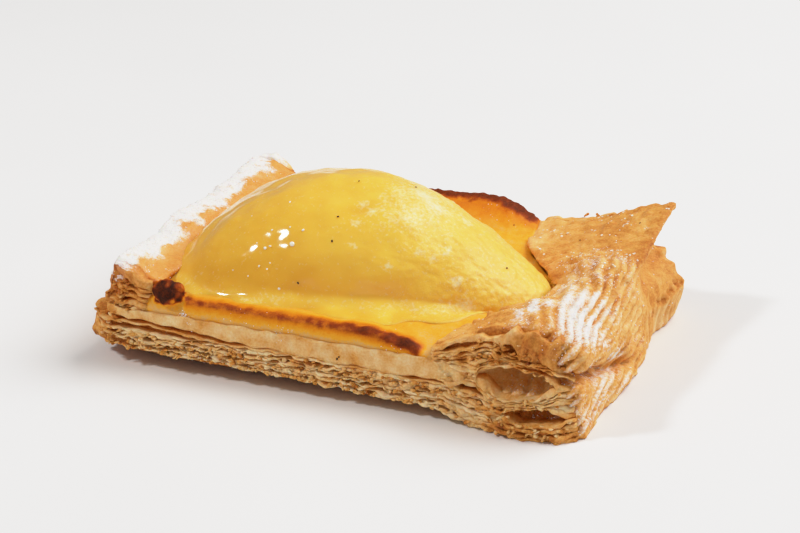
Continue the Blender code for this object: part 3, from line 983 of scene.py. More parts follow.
@dataclass
class CutSide:
    """The leaves of dough on one cut side of the slice.

    Attributes:
        side: which side.
        solid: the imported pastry, for the stack's height and length.
        cut: where the side is along Y.
        wall: where the crust's wall stands behind the leaves.
        partings: the gaps between the leaves.
        floor_top: how high the floor of the tart is.
        fold_starts: where the left fold ends and the right one begins along X.
        foot_bulge: how far the foot of the right end stands out.
        cell_count: how many small cells open between the thin leaves.
        flake_count: how many flakes stick out between the leaves, at most.
        near_lift: how far the near side's foot stands off the table, as places along X and heights.
        far_end: where along X the far side's leaves end at most, short of the lobe.
        solid_ends: the left and right end at heights where the solid has none of its own.
        probe_range: where along X the stack's height is read, from and to.
        probe_step: how far apart the stack's height is read.
        probe_x: where along X the stack's height is read.
        top_z: how high its top is there.
        foot_z: how high its foot is there.
        probe_z: at which heights its ends are read.
        left_x: where its left end is along X at those heights.
        right_x: where its right end is.
        cells: the small cells between the thin leaves.
    """

    side: Side
    solid: Solid
    cut: float
    wall: float
    partings: tuple[Parting, ...]
    floor_top: float = 15.0
    fold_starts: tuple[float, float] = (-50.0, 22.6)
    foot_bulge: float = 2.6
    cell_count: int = 105
    flake_count: int = 800
    near_lift: tuple[tuple[float, float], ...] = ((-64.0, 0.0), (-54.0, 1.9), (-12.0, 1.3), (18.0, 0.0))
    far_end: float = 53.5
    solid_ends: tuple[float, float] = (-58.0, 56.0)
    probe_range: tuple[float, float] = (-72.0, 66.0)
    probe_step: float = 0.5
    probe_x: np.ndarray = field(init=False)
    top_z: np.ndarray = field(init=False)
    foot_z: np.ndarray = field(init=False)
    probe_z: np.ndarray = field(init=False)
    left_x: np.ndarray = field(init=False)
    right_x: np.ndarray = field(init=False)
    cells: tuple[Parting, ...] = field(init=False)

    def measure(self) -> None:
        """Reads the stack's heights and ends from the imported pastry."""
        inside = self.wall - self.side.value * 0.6
        self.probe_x = np.arange(*self.probe_range, self.probe_step)
        tops = [self.solid.hit((x, inside, ABOVE_MM), DOWN) for x in self.probe_x]
        feet = [self.solid.hit((x, inside, BELOW_MM), UP) for x in self.probe_x]
        self.top_z = np.array([hit.z if hit else np.nan for hit in tops])
        self.foot_z = np.array([hit.z if hit else np.nan for hit in feet])
        known = ~np.isnan(self.top_z)
        self.top_z = np.interp(self.probe_x, self.probe_x[known], self.top_z[known])
        self.foot_z = np.interp(self.probe_x, self.probe_x[known], self.foot_z[known])
        if self.side is Side.NEAR:
            self.foot_z += np.array([read_line(self.near_lift, x) for x in self.probe_x])
        self.probe_z = np.arange(1.0, 28.0, 1.0)
        lefts = [self.solid.hit((-BESIDE_MM, inside, z), (1.0, 0.0, 0.0)) for z in self.probe_z]
        rights = [self.solid.hit((BESIDE_MM, inside, z), (-1.0, 0.0, 0.0)) for z in self.probe_z]
        left_end, right_end = self.solid_ends
        self.left_x = np.array([hit.x if hit and hit.x < 0.0 else left_end for hit in lefts])
        self.right_x = np.array([hit.x if hit and hit.x > 30.0 else right_end for hit in rights])
        if self.side is Side.FAR:
            self.right_x = np.minimum(self.right_x, self.far_end)

    def stack(self, x: float) -> tuple[float, float]:
        """How high the stack's foot and top are at a place along X."""
        foot = float(np.interp(x, self.probe_x, self.foot_z))
        return foot, float(np.interp(x, self.probe_x, self.top_z))

    def open_cells(self) -> None:
        """Opens small cells between the thin leaves, as steam does."""
        draw = Seed.CELLS.draw(self.side)
        cells = []
        for _ in range(self.cell_count):
            x = draw.uniform(-64.0, 56.0)
            foot, top = self.stack(x)
            z = draw.uniform(foot + 0.6, 9.0) if -57.0 < x < 30.0 else draw.uniform(foot + 0.8, top - 1.0)
            if x > 30.0 and 7.0 < z < 18.0 or x > 38.0 and z < 18.0:
                continue
            length = draw.uniform(1.6, 6.0)
            tilt = draw.gauss(0.0, 0.06) * length
            opening = draw.uniform(0.30, 0.70)
            cells.append(Parting((x - 0.5 * length, z - tilt), (x + 0.5 * length, z + tilt), opening, 1.3))
        self.cells = tuple(cells)

    def front(self, x: float, z: float) -> float:
        """Where the cut is along Y, with the near side's foot that stands out at the right."""
        if self.side is Side.FAR:
            return self.cut
        return self.cut - self.foot_bulge * bell(47.0, 11.0, x) * ramp(14.0, 2.0, z)

    def ends(self, z: float) -> tuple[float, float]:
        """Where the side ends along X at a height."""
        return float(np.interp(z, self.probe_z, self.left_x)), float(np.interp(z, self.probe_z, self.right_x))

    def leaf(self, shape: Leaf, fold: bool, lane: float) -> bmesh.types.BMesh:
        """Makes one leaf.

        Args:
            shape: its sizes.
            fold: whether it lies in a fold, above the floor.
            lane: a number of its own, for its unevenness.

        Returns:
            The leaf's mesh, coloured.
        """
        middle = 0.5 * (shape.low + shape.high)
        level = mix(self.floor_top, 24.0, middle) if fold else self.floor_top * middle
        left, right = self.ends(level)
        start = max(shape.start, left + 0.2)
        end = min(shape.end, right - 0.2)
        facing = self.side.value

        def heights(x: float) -> tuple[float, float]:
            """The leaf's lower and upper face at a place along X."""
            foot, top = self.stack(x)
            opened = ramp(38.0, 46.0, x) if fold else ramp(-20.0, -58.0, x)
            opened *= 1.0 if self.side is Side.NEAR else 0.0
            low = mix(shape.low, shape.parted[0], opened)
            high = mix(shape.high, shape.parted[1], opened)
            bottom, ceiling = (self.floor_top, top) if fold else (foot, self.floor_top)
            return mix(bottom, ceiling, low), mix(bottom, ceiling, high)

        sides = []
        for parting in self.partings + self.cells:
            over, spine = parting.middle()
            sides.append((parting, 0.5 * sum(heights(over)) > spine))

        def place(u: float, v: float, w: float) -> tuple[float, float, float]:
            """A corner of the leaf, from its shares of the length, the depth and the thickness."""
            x = mix(start, end, u)
            low, high = heights(x)
            calm = shape.calm
            line = Vector((x, lane, 0.0))
            wave = 0.24 * grain(line, 6.0, lane) + 0.16 * grain(line, 2.2, lane + 1.0)
            thick = 1.0 + 0.45 * grain(Vector((x, lane, w)), 2.4, lane + 2.0) * (1.0 - calm)
            z = mix(0.5 * (low + high), mix(low, high, w), thick) + wave * (1.0 - calm)
            for parting, above in sides:
                z = parting.push(x, z, above)
            near_end = min(x - left, right - x)
            corner = 2.6 * ramp(5.0, 0.0, near_end) ** 1.5
            ragged = shape.ragged
            if self.side is Side.FAR:
                corner += 2.0 * ramp(9.0, 0.0, right - x)
                ragged *= mix(1.0, 0.15, ramp(44.0, 52.0, x))
            spot = Vector((x, lane * 3.0, w * (high - low) * 0.6))
            torn = ragged * (0.50 * grain(spot, 3.2, lane) + 0.42 * grain(spot, 1.3, lane + 4.0))
            torn += 0.30 * grain(spot, 11.0, lane + 5.0) * (1.0 - 0.7 * calm)
            fade = ramp(0.0, 2.5, x - start) * ramp(0.0, 2.5, end - x)
            rounding = 0.30 * (2.0 * w - 1.0) ** 2 * min(1.0, high - low) * (1.0 - calm)
            edge = self.front(x, z) + facing * (torn - rounding - corner)
            if shape.start > -70.0 or shape.end < 70.0:
                edge = mix(self.wall + facing * 0.2, edge, fade)
            back = self.wall - facing * 1.2
            droop = (1.0 - v) ** 2 * 0.35 * grain(Vector((x, lane, 2.0)), 4.0, lane + 6.0)
            return x, mix(edge, back, v), max(0.0, z + droop)

        columns = max(8, round((end - start) * shape.columns_per_mm))
        mesh_builder = block(columns, 2, shape.floors, place)
        mesh_builder.normal_update()

        def colour(spot: Vector, normal: Vector) -> tuple[float, float, float]:
            """The three shares that the pastry's material reads."""
            return self.browning(spot, shape), self.dust(spot, normal, fold), self.wet(spot)

        paint(mesh_builder, colour)
        return mesh_builder

    def leaves(self, shapes: Sequence[Leaf], fold: bool, lane: float, step: float) -> bmesh.types.BMesh:
        """The leaves of the floor or of the folds as one mesh, each with a lane of its own."""
        lanes = [lane + number * step + self.side.value for number in range(len(shapes))]
        return join([self.leaf(shape, fold, own) for shape, own in zip(shapes, lanes, strict=True)])

    def browning(self, place: Vector, shape: Leaf) -> float:
        """How far a leaf is browned at a place, with painted shade: it is darker the deeper it lies behind
        its torn edge.
        """
        depth = abs(place.y - self.cut)
        # painted shade: the leaves are browned darker away from the cut, in the recesses between them
        behind = 0.15 * ramp(0.9, 2.6, depth)
        uneven = 0.14 * grain(place, 2.6, 21.0)
        if self.side is Side.FAR:
            left_fold = ramp(-48.0, -54.0, place.x) * ramp(15.0, 20.0, place.z)
            return shape.browning + behind + uneven - 0.2 * left_fold
        left_end = 0.10 * ramp(-55.0, -62.0, place.x)
        patchy = clamp(0.55 + 0.8 * grain(place, 4.0, 22.0))
        roll_end = 0.20 * patchy * bell(51.0, 9.0, place.x) * ramp(15.0, 18.0, place.z)
        spot = 0.4 * bell(31.5, 1.6, place.x) * bell(16.6, 1.6, place.z)
        foot = 0.10 * ramp(4.0, 0.0, place.z) + 0.20 * ramp(34.0, 44.0, place.x) * ramp(9.0, 5.0, place.z)
        return shape.browning + behind + uneven + left_end + roll_end + spot + foot

    def wet(self, place: Vector) -> float:
        """How much glaze and butter soaked into the leaves: the folds' ends are redder for it."""
        if self.side is Side.FAR:
            return 0.0
        left = 0.55 * ramp(-50.0, -58.0, place.x) * ramp(15.0, 20.0, place.z)
        return left + 0.35 * bell(50.0, 9.0, place.x) * ramp(16.0, 19.0, place.z)

    def dust(self, place: Vector, normal: Vector, fold: bool) -> float:
        """How much sugar lies on a leaf."""
        if not fold:
            return 0.12 * ramp(0.3, 0.8, normal.z)
        if self.side is Side.FAR:
            return 0.85 * ramp(-49.0, -56.0, place.x) * ramp(19.0, 22.0, place.z)
        return 0.8 * ramp(-50.0, -60.0, place.x) * ramp(0.3, 0.8, normal.z) * ramp(21.0, 23.5, place.z)

    def floor_leaves(self) -> list[Leaf]:
        """The leaves of the floor: thin and golden below, a thick pale band above, thin at the right."""
        made = []
        count = 7
        pressed = 0.92
        band_start, band_end = 24.0, 34.0
        for number in range(count):
            low = number / count * 0.54
            high = low + 0.073
            parted = (low * pressed, high * pressed)
            made.append(Leaf(low, high, parted, ragged=1.25, browning=0.10 + 0.06 * (number % 3), floors=3))
        made.append(Leaf(0.545, 0.59, (0.64, 0.70), end=band_end, ragged=0.7, browning=0.30, calm=0.5))
        band = Leaf(0.60, 1.045, (0.80, 1.045), end=band_end, ragged=0.30, browning=0.26, calm=0.8, floors=8)
        made.append(band)
        for number in range(count):
            low = 0.55 + number / count * 0.45
            high = low + 0.06
            browning = 0.20 + 0.04 * (number % 3)
            made.append(Leaf(low, high, (low, high), start=band_start, ragged=1.2, browning=browning))
        return made

    def fold_leaves(self, start: float, end: float, count: int, browning: float, skin: float) -> list[Leaf]:
        """The leaves of one fold, under its outer skin.

        Args:
            start: where the fold begins along X.
            end: where it ends along X.
            count: how many leaves it has.
            browning: how far they are browned.
            skin: how thick the skin is, as a share of the fold's height.

        Returns:
            The leaves.
        """
        made = []
        squeezed = 0.35
        for number in range(count):
            low = number / count * (1.0 - skin)
            high = low + 0.80 * (1.0 - skin) / count
            parted = (low * squeezed, high * squeezed)
            uneven = browning + 0.06 * (number % 3)
            made.append(Leaf(low, high, parted, start, end, ragged=1.5, browning=uneven))
        parted = (squeezed * (1.0 - skin), 1.0)
        ragged = 1.4 if self.side is Side.NEAR else 0.6
        outer = Leaf(1.0 - skin, 1.0, parted, start, end, ragged=ragged, browning=browning + 0.08, floors=9)
        return [*made, outer]

    def build(self, pastry: bpy.types.Material) -> list[bpy.types.Object]:
        """Makes the leaves of this side: one piece for the floor and one for both folds."""
        self.measure()
        self.open_cells()
        name = self.side.name.lower()
        left_edge, right_edge = self.fold_starts
        left = self.fold_leaves(-BESIDE_MM, left_edge, count=5, browning=0.32, skin=0.24)
        right = self.fold_leaves(right_edge, BESIDE_MM, count=6, browning=0.22, skin=0.26)
        floor = self.leaves(self.floor_leaves(), False, 3.0, 2.3)
        folds = self.leaves(left + right, True, 61.0, 2.9)
        return [
            Piece(f"{name}_floor_leaves", Slot.PASTRY).make(floor, pastry),
            Piece(f"{name}_fold_leaves", Slot.PASTRY).make(folds, pastry),
        ]

    def flakes(self, pastry: bpy.types.Material) -> bpy.types.Object:
        """Small torn flakes that stick out between the leaves.

        Args:
            pastry: the pastry's material.

        Returns:
            The flakes as one object.
        """
        draw = Seed.FLAKES.draw(self.side)
        places = []
        for _ in range(self.flake_count):
            z = draw.uniform(0.5, 9.5) if draw.random() < 0.65 else draw.uniform(9.0, 23.0)
            left, right = self.ends(max(1.0, z))
            x = draw.uniform(left + 1.0, right - 1.5)
            if z > 15.0:
                on_left = draw.random() < 0.35
                x = draw.uniform(left + 1.0, -54.0) if on_left else draw.uniform(34.0, right - 1.5)
            if self.side is Side.FAR and x > 44.0:
                continue
            foot = self.stack(x)[0]
            z = max(z, foot + 0.4)
            if z > 9.5 and -56.0 < x < 28.0:
                z = draw.uniform(foot + 0.4, 9.5)
            lifted = z
            for parting in self.partings + self.cells:
                lifted = parting.push(x, lifted, lifted > parting.middle()[1])
            near_end = min(x - left, right - x)
            out = draw.uniform(-0.9, 0.25) - 2.4 * ramp(5.0, 0.0, near_end)
            y = self.front(x, lifted) + self.side.value * out
            tip = Matrix.Rotation(draw.gauss(0.0, 0.5), 4, "X")
            turn = tip @ Matrix.Rotation(draw.gauss(0.0, 0.35), 4, "Y")
            spin = Matrix.Rotation(draw.uniform(0.0, math.tau), 4, "Z")
            sizes = (draw.uniform(0.4, 1.0), draw.uniform(0.3, 0.7), draw.uniform(0.16, 0.38))
            size = Matrix.Diagonal((*sizes, 1.0))
            places.append(Matrix.Translation((x, y, max(0.4, lifted))) @ turn @ spin @ size)
        mesh_builder = scatter(lump(2), places)
        for vertex in mesh_builder.verts:
            crumpled = [grain(vertex.co, 0.8, lane) for lane in (1.0, 2.0, 3.0)]
            vertex.co += 0.22 * Vector((crumpled[0], crumpled[1], 0.4 * crumpled[2]))
            vertex.co.z = max(0.02, vertex.co.z)
        mesh_builder.normal_update()

        def colour(place: Vector, normal: Vector) -> tuple[float, float, float]:
            """The three shares that the pastry's material reads."""
            browned = 0.34 + 0.24 * grain(place, 2.0, 31.0) + 0.14 * ramp(15.0, 19.0, place.z)
            return browned, 0.0, self.wet(place)

        paint(mesh_builder, colour)
        return Piece(f"{self.side.name.lower()}_flakes", Slot.PASTRY).make(mesh_builder, pastry)


# The filling


@dataclass
class Custard:
    """The baked custard with its two browned ridges and the burnt blister.

    Attributes:
        solid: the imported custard.
        pear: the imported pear, which the custard touches.
        cell: the size of the surface's cells.
        near_crest: where the near ridge's crest is along Y.
        far_crest: where the far ridge's crest is along Y.
        blister: the middle of the burnt blister.
        fillet: how far from the pear the custard begins to climb it.
        bed_foot: the height below which the custard sinks into the pastry.
        bed_top: the height above which it meets the pear.
        probe_x: where along X the near ridge's height is read.
        crest_z: how high the near ridge is there.
    """

    solid: Solid
    pear: Solid
    cell: float = 0.5
    near_crest: float = -40.6
    far_crest: float = 38.8
    blister: tuple[float, float, float] = (-46.0, -40.6, 20.9)
    fillet: float = 4.0
    bed_foot: float = 15.7
    bed_top: float = 17.5
    probe_x: np.ndarray = field(init=False)
    crest_z: np.ndarray = field(init=False)

    def measure(self) -> None:
        """Reads the near ridge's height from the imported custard."""
        self.probe_x = np.arange(-56.0, 26.0, 1.0)
        across = [self.near_crest + off for off in (-1.2, -0.6, 0.0, 0.6)]
        rows = [[self.solid.hit((x, y, ABOVE_MM), DOWN) for y in across] for x in self.probe_x]
        self.crest_z = np.array([max((hit.z for hit in row if hit), default=19.0) for row in rows])

    def near_line(self, place: Vector) -> float:
        """How far the near ridge is browned: a thin line at the left that widens and darkens to the right."""
        shift = 0.35 * grain(place, 4.0, 41.0) + 0.16 * grain(place, 1.4, 48.0)
        across = place.y - self.near_crest + shift
        down = float(np.interp(place.x, self.probe_x, self.crest_z)) - 0.5 - place.z + 0.5 * shift
        right = ramp(-26.0, 12.0, place.x)
        end = ramp(22.2, 19.8, place.x)
        inner = bell(0.0, mix(1.5, 2.6, right), max(0.0, across))
        outer = bell(0.0, mix(1.2, 1.6, right), max(0.0, down))
        uneven = 1.0 + 0.16 * grain(place, 2.4, 50.0)
        dark = mix(0.66, 0.80, ramp(-12.0, 14.0, place.x)) * end * inner * outer * uneven
        glow = 0.46 * bell(0.0, mix(2.2, 3.2, right), max(0.0, across)) * bell(0.0, 2.0, max(0.0, down)) * end
        return max(dark, glow)

    def browning(self, place: Vector) -> float:
        """How far the custard is browned: pale at its foot, yellow above, dark on the ridges' crests."""
        base = mix(0.02, 0.14, ramp(15.8, 19.0, place.z)) + 0.05 * grain(place, 4.0, 42.0)
        near = self.near_line(place) if place.y < -30.0 else 0.0
        uneven = 0.7 * grain(place, 3.0, 43.0) + 0.35 * grain(place, 1.2, 49.0)
        outer = ramp(self.far_crest - 5.2, self.far_crest - 1.6, place.y + uneven) * ramp(19.5, 22.5, place.z)
        glow = 0.44 * ramp(self.far_crest - 9.5, self.far_crest - 3.5, place.y + uneven)
        glow *= ramp(18.5, 22.0, place.z)
        far = max(0.86 * outer, glow) if place.y > 20.0 else 0.0
        off = place - Vector(self.blister)
        burnt = ramp(5.2, 3.6, math.hypot(off.x, off.y, 1.35 * off.z) + 0.8 * grain(place, 1.8, 44.0))
        return max(base, near, far, burnt * 0.98)

    def colour(self, place: Vector, normal: Vector) -> tuple[float, float, float]:
        """The shares for the custard's material, which reads the first of them."""
        return self.browning(place), 0.0, 0.0

    def relief(self, place: Vector, normal: Vector) -> float:
        """The custard's skin, grainy where it browned."""
        browned = self.browning(place)
        smooth = 0.14 * grain(place, 5.0, 45.0)
        pitted = 0.22 * grain(place, 1.3, 46.0) + 0.16 * grain(place, 2.6, 47.0)
        swollen = 0.45 * ramp(0.5, 0.85, browned) * ramp(0.0, 0.6, normal.z) * ramp(-10.0, 10.0, place.x)
        return smooth + swollen + pitted * ramp(0.25, 0.8, browned)

    def build(self, custard: bpy.types.Material) -> bpy.types.Object:
        """Makes the custard and closes its gap to the pear.

        Args:
            custard: the custard's material.

        Returns:
            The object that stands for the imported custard.
        """
        self.measure()
        mesh_builder = remeshed(self.solid.copy(), self.cell, 1)
        raise_relief(mesh_builder, self.relief)
        for vertex in mesh_builder.verts:
            spot, normal, _, distance = self.pear.tree.find_nearest(vertex.co)
            if distance < 1.0 and vertex.co.z > self.bed_top:
                vertex.co = spot - normal * 0.3
            elif distance < self.fillet and vertex.co.z > self.bed_top:
                vertex.co.z += 0.9 * (1.0 - distance / self.fillet) ** 2
            if vertex.co.z < self.bed_foot:
                vertex.co.z -= 0.45
        paint(mesh_builder, self.colour)
        return Piece("custard", Slot.CUSTARD, self.solid.node).make(mesh_builder, custard)


@dataclass
class Pear:
    """The pear half under its glaze.

    Attributes:
        solid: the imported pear.
        camera: the camera, which places what the picture shows on the pear.
        grit_spots: whitish spots of the flesh, as pixels of the picture and a radius in millimetres.
        amber_pool: where the glaze is deepest, as a pixel.
        middle: the middle of the pear's foot.
        bed: how high the foot stands.
        skirt: the glaze round the foot: directions in degrees from +X, how far it spreads there and how
            high it climbs the pear.
        spots: where the whitish spots lie, and their radii.
        pool: where the glaze is deepest, on the solid.
        foot_turns: directions in which the foot's outline is read.
        foot_reach: how far the outline is from the middle there.
    """

    solid: Solid
    camera: StudioCamera
    grit_spots: tuple[tuple[tuple[float, float], float], ...] = (
        ((388.0, 268.0), 2.0),
        ((364.0, 204.0), 2.2),
        ((380.0, 196.0), 1.8),
        ((356.0, 224.0), 2.0),
        ((371.0, 211.0), 2.0),
        ((353.0, 244.0), 1.6),
        ((446.0, 250.0), 2.6),
        ((424.0, 194.0), 3.4),
        ((436.0, 206.0), 3.0),
        ((468.0, 222.0), 2.2),
        ((458.0, 282.0), 2.4),
        ((433.0, 257.0), 2.0),
        ((466.0, 304.0), 1.8),
        ((420.0, 252.0), 1.8),
    )
    amber_pool: tuple[float, float] = (290.0, 279.0)
    middle: tuple[float, float] = (-12.0, -4.0)
    bed: float = 18.9
    skirt: tuple[tuple[float, float, float], ...] = (
        (-180.0, 7.5, 8.0),
        (-150.0, 7.5, 7.0),
        (-120.0, 5.8, 5.0),
        (-90.0, 5.6, 3.8),
        (-68.0, 6.8, 3.6),
        (-52.0, 8.6, 3.6),
        (-38.0, 8.4, 3.2),
        (-20.0, 0.0, 2.0),
        (30.0, 0.0, 2.0),
        (60.0, 1.2, 2.0),
        (120.0, 1.8, 3.0),
        (150.0, 5.0, 6.0),
        (180.0, 7.5, 8.0),
    )
    spots: list[tuple[Vector, float]] = field(default_factory=list, init=False)
    pool: Vector = field(init=False)
    foot_turns: np.ndarray = field(init=False)
    foot_reach: np.ndarray = field(init=False)

    def prepare(self) -> None:
        """Finds the spots on the pear and the outline of its foot."""
        found = [(self.camera.find(self.solid, pixel), radius) for pixel, radius in self.grit_spots]
        self.spots = [(hit[0], radius) for hit, radius in found if hit]
        self.pool = self.camera.find(self.solid, self.amber_pool)[0]
        self.foot_turns = np.arange(-180.0, 181.0, 5.0)
        centre = Vector((self.middle[0], self.middle[1], self.bed + 1.0))
        ways = [Vector((math.cos(turn), math.sin(turn), 0.0)) for turn in np.radians(self.foot_turns)]
        self.foot_reach = np.array([(self.solid.hit(centre, way) - centre).length for way in ways])

    def relief(self, place: Vector, normal: Vector) -> float:
        """How far the flesh stands out in millimetres: smooth at the wide end, gritty towards the stem."""
        gritty = self.dryness(place)
        waves = 0.42 * grain(place, 10.0, 51.0) + 0.15 * grain(place, 4.5, 52.0)
        waves += 0.035 * grain(place, 2.0, 58.0)
        pits = 0.11 * grain(place, 1.5, 53.0) + 0.07 * grain(place, 0.9, 54.0)
        groove = -0.9 * self.groove(place)
        return waves + groove + pits * mix(0.10, 1.0, gritty)

    def spread(self, vertex: bmesh.types.BMVert) -> None:
        """Lets the glaze run out from the pear's foot in a hollow curve."""
        away = Vector((vertex.co.x - self.middle[0], vertex.co.y - self.middle[1], 0.0))
        turn = math.degrees(math.atan2(away.y, away.x))
        turns, widths, climbs = zip(*self.skirt, strict=True)
        width = float(np.interp(turn, turns, widths)) * (1.0 + 0.22 * grain(vertex.co, 8.0, 71.0))
        climb = float(np.interp(turn, turns, climbs))
        share = clamp(1.0 - (vertex.co.z - self.bed) / climb)
        rim = ramp(0.70, 1.0, away.length / max(1.0, self.reach(turn)))
        vertex.co += away.normalized() * width * share**2 * rim
        ripple = 0.40 * math.sin(2.4 * share * math.pi + grain(vertex.co, 9.0, 72.0)) * share
        vertex.co.z += ripple * ramp(-10.0, -20.0, vertex.co.y) * rim

    def reach(self, turn: float) -> float:
        """How far the pear's foot is from its middle in a direction."""
        return float(np.interp(turn, self.foot_turns, self.foot_reach))

    def groove(self, place: Vector) -> float:
        """How deep a place lies in the dimple that runs slantwise over the top, from 0 to 1."""
        along = Vector((0.75, 0.66))
        off = Vector((place.x + 5.0, place.y + 17.0))
        across = off.x * along.y - off.y * along.x
        return bell(0.0, 5.2, off.dot(along)) * bell(0.0, 2.0, across) * ramp(24.0, 30.0, place.z)

    def dryness(self, place: Vector) -> float:
        """How far the flesh shows through the glaze: little at the wide end, much at the stem end."""
        return ramp(-16.0, 14.0, place.x + 0.35 * place.y + 5.0 * grain(place, 9.0, 55.0))

    def colour(self, place: Vector, normal: Vector) -> tuple[float, float, float]:
        """The three shares that the pear's material reads."""
        low = ramp(40.0, 20.0, place.z)
        left = ramp(8.0, -38.0, place.x)
        pool = 0.12 * bell(0.0, 6.0, math.hypot(0.55 * (place.x - self.pool.x), place.z - self.pool.z))
        depth = 0.06 + 0.42 * left + 0.08 * low * ramp(20.0, -20.0, place.x) + pool
        depth += 0.25 * self.groove(place)
        grit_and_sheen = 0.16 * self.dryness(place) + 0.10 * grain(place, 5.0, 56.0)
        # painted sheen: the top of the pear is whitened as if it reflected the light from above
        grit_and_sheen += 0.34 * ramp(33.0, 41.0, place.z) * ramp(-8.0, 6.0, place.x)
        for spot, radius in self.spots:
            grit_and_sheen += 0.55 * bell(0.0, 0.62 * radius, (place - spot).length + 0.5 * grain(place, 1.8, 59.0))
        rim = ramp(20.6, 19.2, place.z) * ramp(-20.0, -28.0, place.y)
        depth = mix(depth, 0.62, 0.8 * rim)
        grit_and_sheen *= 1.0 - 0.8 * rim
        seam = bell(20.9, 0.8, place.z + 0.9 * grain(place, 6.0, 57.0)) * ramp(-15.0, -22.0, place.y)
        return depth - 0.4 * seam, grit_and_sheen + 0.20 * seam, self.dryness(place)

    def build(self, flesh: bpy.types.Material) -> bpy.types.Object:
        """Makes the pear half.

        Args:
            flesh: the pear's material.

        Returns:
            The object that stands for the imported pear.
        """
        self.prepare()
        mesh_builder = self.solid.copy()
        for _ in range(3):
            bmesh.ops.subdivide_edges(mesh_builder, edges=mesh_builder.edges, cuts=1, use_grid_fill=True)
            smooth_out(mesh_builder)
        for vertex in mesh_builder.verts:
            self.spread(vertex)
        smooth_out(mesh_builder)
        raise_relief(mesh_builder, self.relief)
        paint(mesh_builder, self.colour)
        return Piece("glazed_pear_half", Slot.PEAR, self.solid.node).make(mesh_builder, flesh)


# What lies on top


